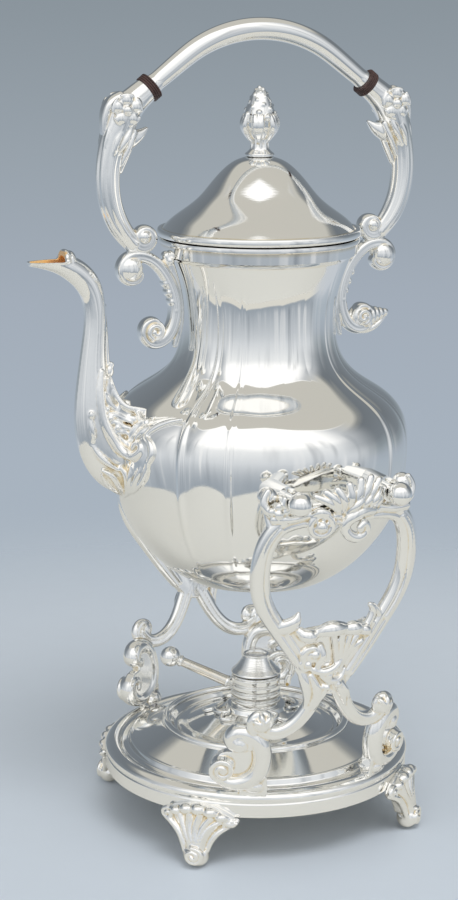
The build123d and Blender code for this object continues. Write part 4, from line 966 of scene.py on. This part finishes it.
def spout_casting():
    parts = [skin(spout_rings(0.0))]
    add = parts.append
    # web between neck and body, the ground of the leaf work
    add(slab([(-79, 227), (-76.4, 219), (-72.6, 213.2), (-70, 205), (-76, 200), (-81, 212)], on_side, -6.8,
        6.8))
    add(slab([(-75, 214.6), (-70.6, 212), (-65.8, 210.2), (-56, 204), (-56, 194), (-66, 193), (-75.5, 203)],
        on_side, -8.8, 8.8))
    flanks = [Surface(parts, on_back), Surface(parts, on_side)]
    for flank in flanks:
        flank.rod(50, 12, (-77.8, 226, 4.6, 1), (-75.6, 218, 6.6, 1.3), (-71.6, 212.6, 9, 1.4),
            (-64.6, 210.6, 10, 1.4), (-57, 207, 11, 1.2))
    # thick rim round the open lip, with its hump at the back
    lip = [(-97.6, 6.2, 281.5), (-103, 6, 281.6), (-109, 5, 281.7), (-113, 3.9, 281.8), (-114.7, 1.6, 281.8),
        (-114.8, 0, 281.8)]
    rim_line = lip + [(x, -y, z) for x, y, z in lip[-2::-1]]
    add(rod([(*p, 1) for p in rim_line], 80, 12))
    add(rod([(-98.4, -5.7, 281.2, 0.9), (-97.6, -4.2, 283.6, 1.3), (-97.4, 0, 284.8, 1.5),
        (-97.6, 4.2, 283.6, 1.3), (-98.4, 5.7, 281.2, 0.9)], 40, 12))
    add(blob((-95.4, 0, 281.4), (3, 5.4, 4.2)))
    # row of buds down the inner edge of the bend, ending in a stem
    for step in range(7):
        add(blob((-88.2 + 9.4 * (step / 6)**0.6, 0, 277.4 - 3.1 * step), 1.75 - 0.05 * step))
    add(rod([(-79.2, 0, 258, 1.5), (-78.2, 0, 245, 1.4), (-77.6, 0, 232, 1.5)], 20, 12))
    add(blob((-76.6, 0, 228), (2.4, 2.2, 3)))
    add(blob((-75.4, 0, 231), (1.5, 1.3, 1.6)))
    # leafed plate that lies on the belly round the spout's root
    half_widths = [(167, 2), (169, 7.5), (172, 13), (177, 19), (182, 25), (186, 27.6), (190, 29), (194, 29.4),
        (198, 28), (202, 24), (205.5, 21), (207.6, 17)]
    sheet = []
    for z, half in half_widths:
        radius = np.interp(z, wall[:, 1], wall[:, 0])
        sweep = np.linspace(-1, 1, 25) * half / radius
        outside = [(-(radius + 0.8) * cos(t), (radius + 0.8) * sin(t), z) for t in sweep]
        sheet.append(outside + [(-(radius - 2.4) * cos(t), (radius - 2.4) * sin(t), z) for t in sweep[::-1]])
    add(skin(np.array(sheet)))
    for flank in flanks[::-1]:
        for rows in LEAF_WORK:
            flank.rod(16 * len(rows) - 10, 12, *rows)
        flank.blob(-88.2, 209.6, 7.6, (1.3, 1.2, 1.9))
        for x, out, z in ((-80.6, 8.6, 212), (-79.2, 9.6, 207.8), (-76.4, 10.6, 203.4)):
            flank.blob(x, z, out, 1.3)
    add(blob((-67.6, 0, 167.6), (3.4, 4.6, 2.8)))
    return parts


bore = spout_rings(1.2)
mouth = skin(bore[bore[:, 0, 0] < -89.0])
lip_ends = ((-99, 281), (-98, 300))
lip_opening = skin([[(-130, -9, z), (x, -9, z), (x, 9, z), (-130, 9, z)] for x, z in lip_ends])
spout_mesh = cast_mesh("spout_casting", spout_casting(), 0.42, 2, [mouth, lip_opening])
co = np.array([v.co for v in spout_mesh.vertices]) / MM
facing = np.array([v.normal for v in spout_mesh.vertices])
rows = through([(x, 0, *rest) for x, *rest in SPOUT], 200)[120:]
near = rows[np.linalg.norm(co[:, None, [0, 2]] - rows[None, :, [0, 2]], axis=2).argmin(1)]
across = (co[:, 2] - near[:, 2]) * near[:, 5] - (co[:, 0] - near[:, 0]) * near[:, 6]
inside = np.hypot(across / (near[:, 3] - 0.5), co[:, 1] / (near[:, 4] - 0.5)) < 1.0
x, y, z = co.T
hump_side = (facing[:, 0] < -0.25) & (z > 279.0) & (z < 285.4) & (np.abs(y) < 4.8) & (x > -100.4) & (x < -94.0)
gilt = np.where((x < -88) & (z > 272.0) & (inside | hump_side) & (x > -113.6), 1.0, 0.0)
layer = spout_mesh.attributes.new("gilt", "FLOAT", "POINT")
layer.data.foreach_set("value", gilt.astype(np.float32))
finish_piece("spout_casting", spout_mesh, gilded, "kettle", ["spout"])


# ---------------------------------------------------------------- handle arms
def arm_casting():
    """Fluted arm on the +X side with its flower, spur and lower scroll."""
    line = [(57.8, 0, 356.2, 6), (62.8, 0, 352.2, 6.6), (68, 0, 346.4, 7.6), (71.8, 0, 338.2, 7),
        (75, 0, 328, 6.1), (76.2, 0, 315.9, 5.8), (74.2, 0, 303.2, 5.5), (69.6, 0, 293.6, 5.1),
        (64.4, 0, 287.2, 4.4)]
    rows = round_ends(through(line, 150), (3,))
    _, side, normal = frames_along(rows[:, :3], TO_FRONT)
    turn = around(72)
    fade = np.clip((338.0 - rows[:, 2]) / 16, 0, 1) * np.clip((rows[:, 2] - 286) / 5, 0, 1)
    size = rows[:, 3, None] * (1 - 0.11 * fade[:, None] * (1 - np.abs(np.cos(4 * turn)))[None, :])
    wide, high = (size * np.cos(turn))[..., None], (size * np.sin(turn))[..., None]
    parts = [skin(rows[:, None, :3] + wide * side[:, None] + high * normal[:, None])]
    add = parts.append
    flat_curl = curl((59.2, 289.8), 5.2, 1.2, 3.2, 1.6, -30, -1.4, 0)
    add(strap([(x, 0, z, r, 4.2) for x, z, _, r in flat_curl], TO_FRONT, 80, 28, 0.1, 0.35))
    for flank in (Surface(parts, on_side), Surface(parts, on_back)):
        centre = (69, 348.4)
        flank.blob(*centre, 7.4, (2.2, 1.9, 2.2))
        for petal in range(5):
            a = radians(72 * petal + 18)
            x, z = centre[0] + 4.6 * cos(a), centre[1] + 4.6 * sin(a)
            flank.blob(x, z, 5.8, (3.1, 2.2, 3.1))
            turns = [a + d for d in (-0.4, -0.15, 0.15, 0.4)]
            flank.rod(20, 8, *[(centre[0] + 6.9 * cos(b), centre[1] + 6.9 * sin(b), 6.6, 0.8) for b in turns])
        for rows in (
            [(66.4, 341.6, 5.4, 1), (69.4, 335, 6.2, 1.6), (73, 329, 5, 0.9)],
            [(70.6, 341.2, 5.8, 1), (73.6, 334.6, 6, 1.5), (75.6, 326.6, 5, 0.8)],
            [(75.4, 343, 3.4, 0.9), (77.6, 336, 3.6, 1.3), (79, 329, 3, 0.8)],
            [(61.4, 355.2, 4.6, 0.8), (63.6, 350.8, 5.6, 1.2), (65.2, 346.4, 6, 0.9)],
            [(64.2, 338.6, 3.4, 1.2), (67.4, 331.4, 4.2, 1.5), (70.6, 323.6, 3.6, 0.8)],
        ):
            flank.rod(30, 10, *rows)
        flank.blob(59.4, 290.4, 4, (2.4, 1.6, 2.4))
    add(strap([(70, 0, 334.6, 6, 4.6), (64.6, 0, 335.4, 4.6, 3.8), (60.4, 0, 337, 2.6, 2.8),
        (57.2, 0, 339.4, 0.9, 1.4)], TO_FRONT, 40, 24))
    add(rod([(63.8, 0, 334.6, 1.6), (67.4, 0, 328, 2.2), (70.4, 0, 320.6, 1.6)], 24, 12))
    add(strap([(70, 0, 354.6, 2, 3.4), (74.8, 0, 351.4, 2.4, 4), (77.6, 0, 345.4, 2, 3.6),
        (78, 0, 338, 1.4, 2.8)], TO_FRONT, 36, 24))
    return parts


arm_mesh = cast_mesh("arm_casting", arm_casting(), 0.4, 2)
finish_piece("handle_arm_right_casting", arm_mesh, cast, "kettle", ["handle_arm_right"])
left_mesh = arm_mesh.copy()
left_mesh.transform(Matrix.Scale(-1, 4, (1, 0, 0)))
left_mesh.flip_normals()
finish_piece("handle_arm_left_casting", left_mesh, cast, "kettle", ["handle_arm_left"])


# ---------------------------------------------------------------- brackets
def bracket_casting(flare):
    run = [(63.4, 274.8, 1.6), (61.4, 272.4, 2), (64, 269.9, 2.3), (68.4, 271.2, 2.6), (70, 275.6, 2.8),
        (67.2, 280, 3), (61.8, 281.2, 3), (55.6, 279.2, 3), (49.8, 273.6, 3), (45.4, 265.4, 3),
        (43.4, 256.2, 3), (45, 247, 3), (49.8, 241, 3), (55.6, 240.2, 2.8), (59.2, 244.2, 2.5),
        (58.2, 249, 2.2), (53.8, 250.2, 1.9), (52, 247, 1.5)]
    parts = [strap([(x, 0, z, w, 4.2) for x, z, w in run], TO_FRONT, 170, 36, 0.14, 0.42)]
    add = parts.append
    for flank in (Surface(parts, on_side), Surface(parts, on_back)):
        flank.blob(65.8, 275.6, 2.4, (5.6, 3.6, 5.4))
        flank.blob(54.6, 245.8, 2, (5.6, 2.8, 5.4))
        flank.rod(40, 10, *curl((54.4, 245.8), 3.8, 0.9, 1.1, 0.9, -60, 1.2, 4.4, 5.2))
    add(strap([(47.6, 0, 280.6, 2.3, 3.4), (43.9, 0, 270, 2.1, 3.2), (41.2, 0, 258, 2, 3.1),
        (41.3, 0, 248, 1.9, 3), (43.4, 0, 238, 1.3, 2)], TO_FRONT, 70, 28, 0.1, 0.4))
    add(blob((46.4, 0, 278.4), (2.6, 4.2, 2.8)))
    for step in range(4):
        add(blob((49.0 - 1.6 * step, 0, 268.0 - 4.4 * step), (1.5, 4, 2.2)))
    if flare:
        for whorl in range(5):
            x = 57.6 + 2.55 * whorl
            add(blob((x, 0, 245.2 + 0.4 * whorl), (2.6, 5.6 - 0.95 * whorl, 6.0 - 1.05 * whorl)))
        add(rod([(52, 0, 239, 1.8), (58.6, 0, 238.6, 1.7), (64.6, 0, 241.2, 1.3), (69.2, 0, 245.8, 0.9)], 40,
            12))
    return parts


for side_name, flare in (("right", True), ("left", False)):
    mesh = cast_mesh("bracket_" + side_name, bracket_casting(flare), 0.4, 2)
    if side_name == "left":
        mesh.transform(Matrix.Scale(-1, 4, (1, 0, 0)))
        mesh.flip_normals()
    finish_piece("bracket_" + side_name + "_casting", mesh, cast, "kettle", ["bracket_" + side_name])

# ---------------------------------------------------------------- finial
bud = [(0.2, 324.9), (6.9, 324.9), (7.1, 326.2), (5.6, 327.2), (4.4, 328.6), (3.7, 331), (3.9, 333.2),
    (5.4, 335.2), (7, 338), (7.7, 341.4), (7.2, 345), (5.9, 349.2), (4.2, 353), (2.2, 356.2), (0.2, 357.4)]
finial_parts = [lathe(soften(bud, 0.6, 4), 72)]
for leaf in range(6):
    a = 2 * pi * leaf / 6
    leaf_rows = [(4.2, 332, 0.8), (6.8, 335.6, 1.3), (8.3, 340.2, 1.5), (7.6, 344, 0.8)]
    for spread in (-0.2, 0, 0.2):
        line = [(r, a + spread * (z - 330) / 12, z, size) for r, z, size in leaf_rows]
        finial_parts.append(rod([(r * cos(b), r * sin(b), z, size) for r, b, z, size in line], 24, 10))
for flute in range(10):
    a = 2 * pi * flute / 10
    finial_parts.append(rod([(4.2 * cos(a), 4.2 * sin(a), 328.4, 0.55), (3.8 * cos(a), 3.8 * sin(a), 333, 0.5)],
        8, 8))
for knob in range(34):
    t = knob / 33
    a = 2.39996 * knob
    r = 6.9 * (1 - t)**0.7 + 0.6
    finial_parts.append(blob((r * cos(a), r * sin(a), 342.6 + 14.0 * t), 1.55 - 0.45 * t))
finish_piece("finial_bud", cast_mesh("finial_bud", finial_parts, 0.3, 2), cast, "lid", ["finial"])

# ---------------------------------------------------------------- grip and insulators
grip_slope = radians(38.0)
grip_x, grip_z = 54, 359
arc_x, arc_z = grip_x - 16.0, grip_z + 16.0 * tan(grip_slope)
bow = arc_x / sin(grip_slope)
grip_line = [(-grip_x, 0, grip_z), (-46, 0, grip_z + 8.0 * tan(grip_slope))]
grip_line += [(bow * sin(a), 0, arc_z - bow * cos(grip_slope) + bow * cos(a))
    for a in np.linspace(-grip_slope, grip_slope, 13)]
grip_line += [(46, 0, grip_z + 8.0 * tan(grip_slope)), (grip_x, 0, grip_z)]
grip_rows = through([(*p, 4.2) for p in grip_line], 160)
middle_part = np.sin(np.linspace(0, pi, 160))
ends = np.minimum(np.arange(160), np.arange(160)[::-1])
grip_rows[:, 3] += 1.05 * middle_part**0.8 + 0.5 * np.exp(-(ends / 2.5)**2)
grip_rows[:, 2] -= 0.95 * middle_part
turned_piece("grip_tube", [tube(grip_rows, 48, TO_FRONT)], raised, "kettle", ["handle_grip"])
for name, side in (("left", -1), ("right", 1)):
    ribs = [(2.8, 0.05), (6.2, 0.05)]
    for rib in range(4):
        low = 0.1 + rib * 1.0
        ribs += [(6.62, low + 0.15), (6.62, low + 0.72), (6.3, low + 0.86)]
    ribs += [(6.3, 4.15), (2.8, 4.15)]
    points, faces = lathe(soften(ribs, 0.15, 3), 96)
    way = Vector((side * cos(grip_slope), 0, -sin(grip_slope)))
    tilt = np.array(way.to_track_quat("Z", "Y").to_matrix())
    points = points @ tilt.T + np.array((side * grip_x, 0, grip_z))
    turned_piece("insulator_" + name + "_ring", [(points, faces)], composition, "kettle", ["insulator_" + name])

# ---------------------------------------------------------------- spirit lamp
LAMP_TURN = Matrix.Rotation(VIEW_TURN, 4, "Z")


def lamp_piece(name, mesh, look, body, nodes):
    """Piece of the lamp, drawn with its handle along -X and turned into place."""
    mesh.transform(LAMP_TURN)
    finish_piece(name, mesh, look, body, nodes)


font = [(39, 43.1), (39, 44.5), (36.4, 44.9), (34, 45.1), (28, 47.4), (20, 50.4), (15.4, 51.6), (14.6, 54),
    (8.8, 54), (8.8, 52.6), (13.6, 52.4), (19.4, 49), (27.6, 46), (33.6, 43.8), (34.4, 42.8), (34.4, 28.2),
    (0.2, 28.2), (0.2, 27), (34.6, 27), (35.6, 28), (35.6, 43.1)]
font_parts = [lathe(soften(font, 0.5, 4), 192)]
for spray in range(4):
    base = radians(90 * spray + 20)
    for rows in (
        [(-9, 17, 0.1, 0.9), (-4, 20.6, 0.5, 1.3), (2, 20.4, 0.6, 1.4), (5.2, 17.6, 0.4, 1.1),
            (3.2, 15.6, 0.6, 0.8)],
        [(4.6, 19.4, 0.3, 1.1), (9, 22.6, 0.3, 1.2), (12.4, 21.4, 0.2, 0.8)],
        [(-5.6, 21.6, 0.2, 0.9), (-8.6, 25.4, 0.1, 1.1), (-12.4, 25.6, 0, 0.6)],
    ):
        line = [(r, base + u / r, 53.6 - (r - 14.0) * 0.36 + out, size) for u, r, out, size in rows]
        font_parts.append(rod([(r * cos(b), r * sin(b), z, size) for r, b, z, size in line], 34, 10))
lamp_piece("font_dish", turned_mesh("font_dish", font_parts), spun, "lamp", ["lamp_font"])

collar = [(4.6, 50), (8.7, 50), (8.7, 54.05), (12.2, 54.05)]
for ring in range(4):
    z = 54.6 + 3.75 * ring
    collar += [(12.25, z), (12.25, z + 2.5), (11.35, z + 2.8), (11.35, z + 3.45)]
collar += [(12.1, 69.6), (4.6, 69.6)]
collar_parts = [lathe(soften(collar, 0.32, 4), 144)]
collar_parts.append(strap([(11, 0, 64.5, 1.7, 1.05), (13.6, 0, 64.5, 1.75, 1.05), (15.3, 0, 64.5, 1.6, 1.05)],
    TO_FRONT, 20, 24, 0, 0.3, 4))
lamp_piece("burner_collar_rings", turned_mesh("collar", collar_parts), spun, "lamp", ["burner_collar"])

cap = [(0.2, 77.4), (4.6, 77.4), (6.4, 75.6), (10.9, 71.2), (11.1, 70.25), (12.35, 70.25), (12.3, 71),
    (11.6, 71.7), (10.2, 73), (8.5, 75.2), (7.1, 77.4), (6.5, 78.6), (6.35, 78.9), (6.55, 79.3), (6.3, 79.9),
    (5.6, 80), (5.1, 79.8), (4.9, 78.5), (0.2, 78.5)]
lamp_piece("snuffer_cone", turned_mesh("cone", [lathe(soften(cap, 0.35, 4), 128)]), brushed, "snuffer",
    ["snuffer_cap"])

loop = [(7.6, 0, 78, 1.45), (11, 0, 79.8, 1.5), (15, 0, 79.2, 1.5), (18, 0, 75.6, 1.5), (18.2, 0, 71.2, 1.5),
    (16.6, 0, 68.2, 1.5)]
fork = [rod(loop, 60, 20)]
for flip in (-1, 1):
    fork.append(strap([(16.6, flip * 2.0, 68.6, 1.5, 0.75), (15.9, flip * 2.15, 66.6, 1.6, 0.7),
        (15.6, flip * 2.15, 64.5, 1.7, 0.7)], TO_FRONT, 16, 16))
fork.append(blob((16.7, 0, 68.6), (1.7, 2.9, 1.3)))
lamp_piece("snuffer_loop", cast_mesh("snuffer_loop", fork, 0.25, 2), cast, "snuffer", ["snuffer_arm"])

seat = np.array((-12.2, 0, 64))
tip = np.array((-42.5, 0, 77.6))
span = np.linalg.norm(tip - seat)
rod_profile = [(0.1, -2.4), (1.9, -2.4), (1.9, 1.5), (3.1, 1.6), (3.1, 2.6), (2.75, 3.2), (2.3, span - 6.6),
    (2.9, span - 6.0), (2.9, span - 4.9), (2.2, span - 4.5), (2.2, span - 2.2), (0.1, span - 2.2)]
points, faces = lathe(soften(rod_profile, 0.3, 4), 48)
tilt = np.array(Vector((tip - seat) / span).to_track_quat("Z", "Y").to_matrix())
lamp_piece("lamp_rod", turned_mesh("lamp_rod", [(points @ tilt.T + seat, faces)]), raised, "lamp",
    ["lamp_handle"])
knob_profile = [(0.05, -5.05)] + [(5.08 * cos(a), 5.05 * sin(a))
    for a in np.linspace(-1.35, 1.35, 26)] + [(0.05, 5.05)]
points, faces = lathe(knob_profile, 64)
lamp_piece("lamp_knob", turned_mesh("lamp_knob", [(points @ tilt.T + tip, faces)]), raised, "lamp",
    ["lamp_ball"])

braid = around(48)
wick_rings = []
for z in np.linspace(29.0, 75.0, 180):
    shrink = sqrt(max(1 - ((z - 73.6) / 1.4)**2, 0.05)) if z > 73.6 else 1.0
    weave = 1 + 0.045 * np.cos(8 * braid + 1.6 * z) * np.cos(8 * braid - 1.6 * z)
    radius = 3.6 * shrink * weave
    wick_rings.append(np.stack([radius * np.cos(braid), radius * np.sin(braid), 0 * braid + z], -1))
lamp_piece("wick_braid", turned_mesh("wick", [skin(np.array(wick_rings))], 60), cotton, "lamp", ["wick"])
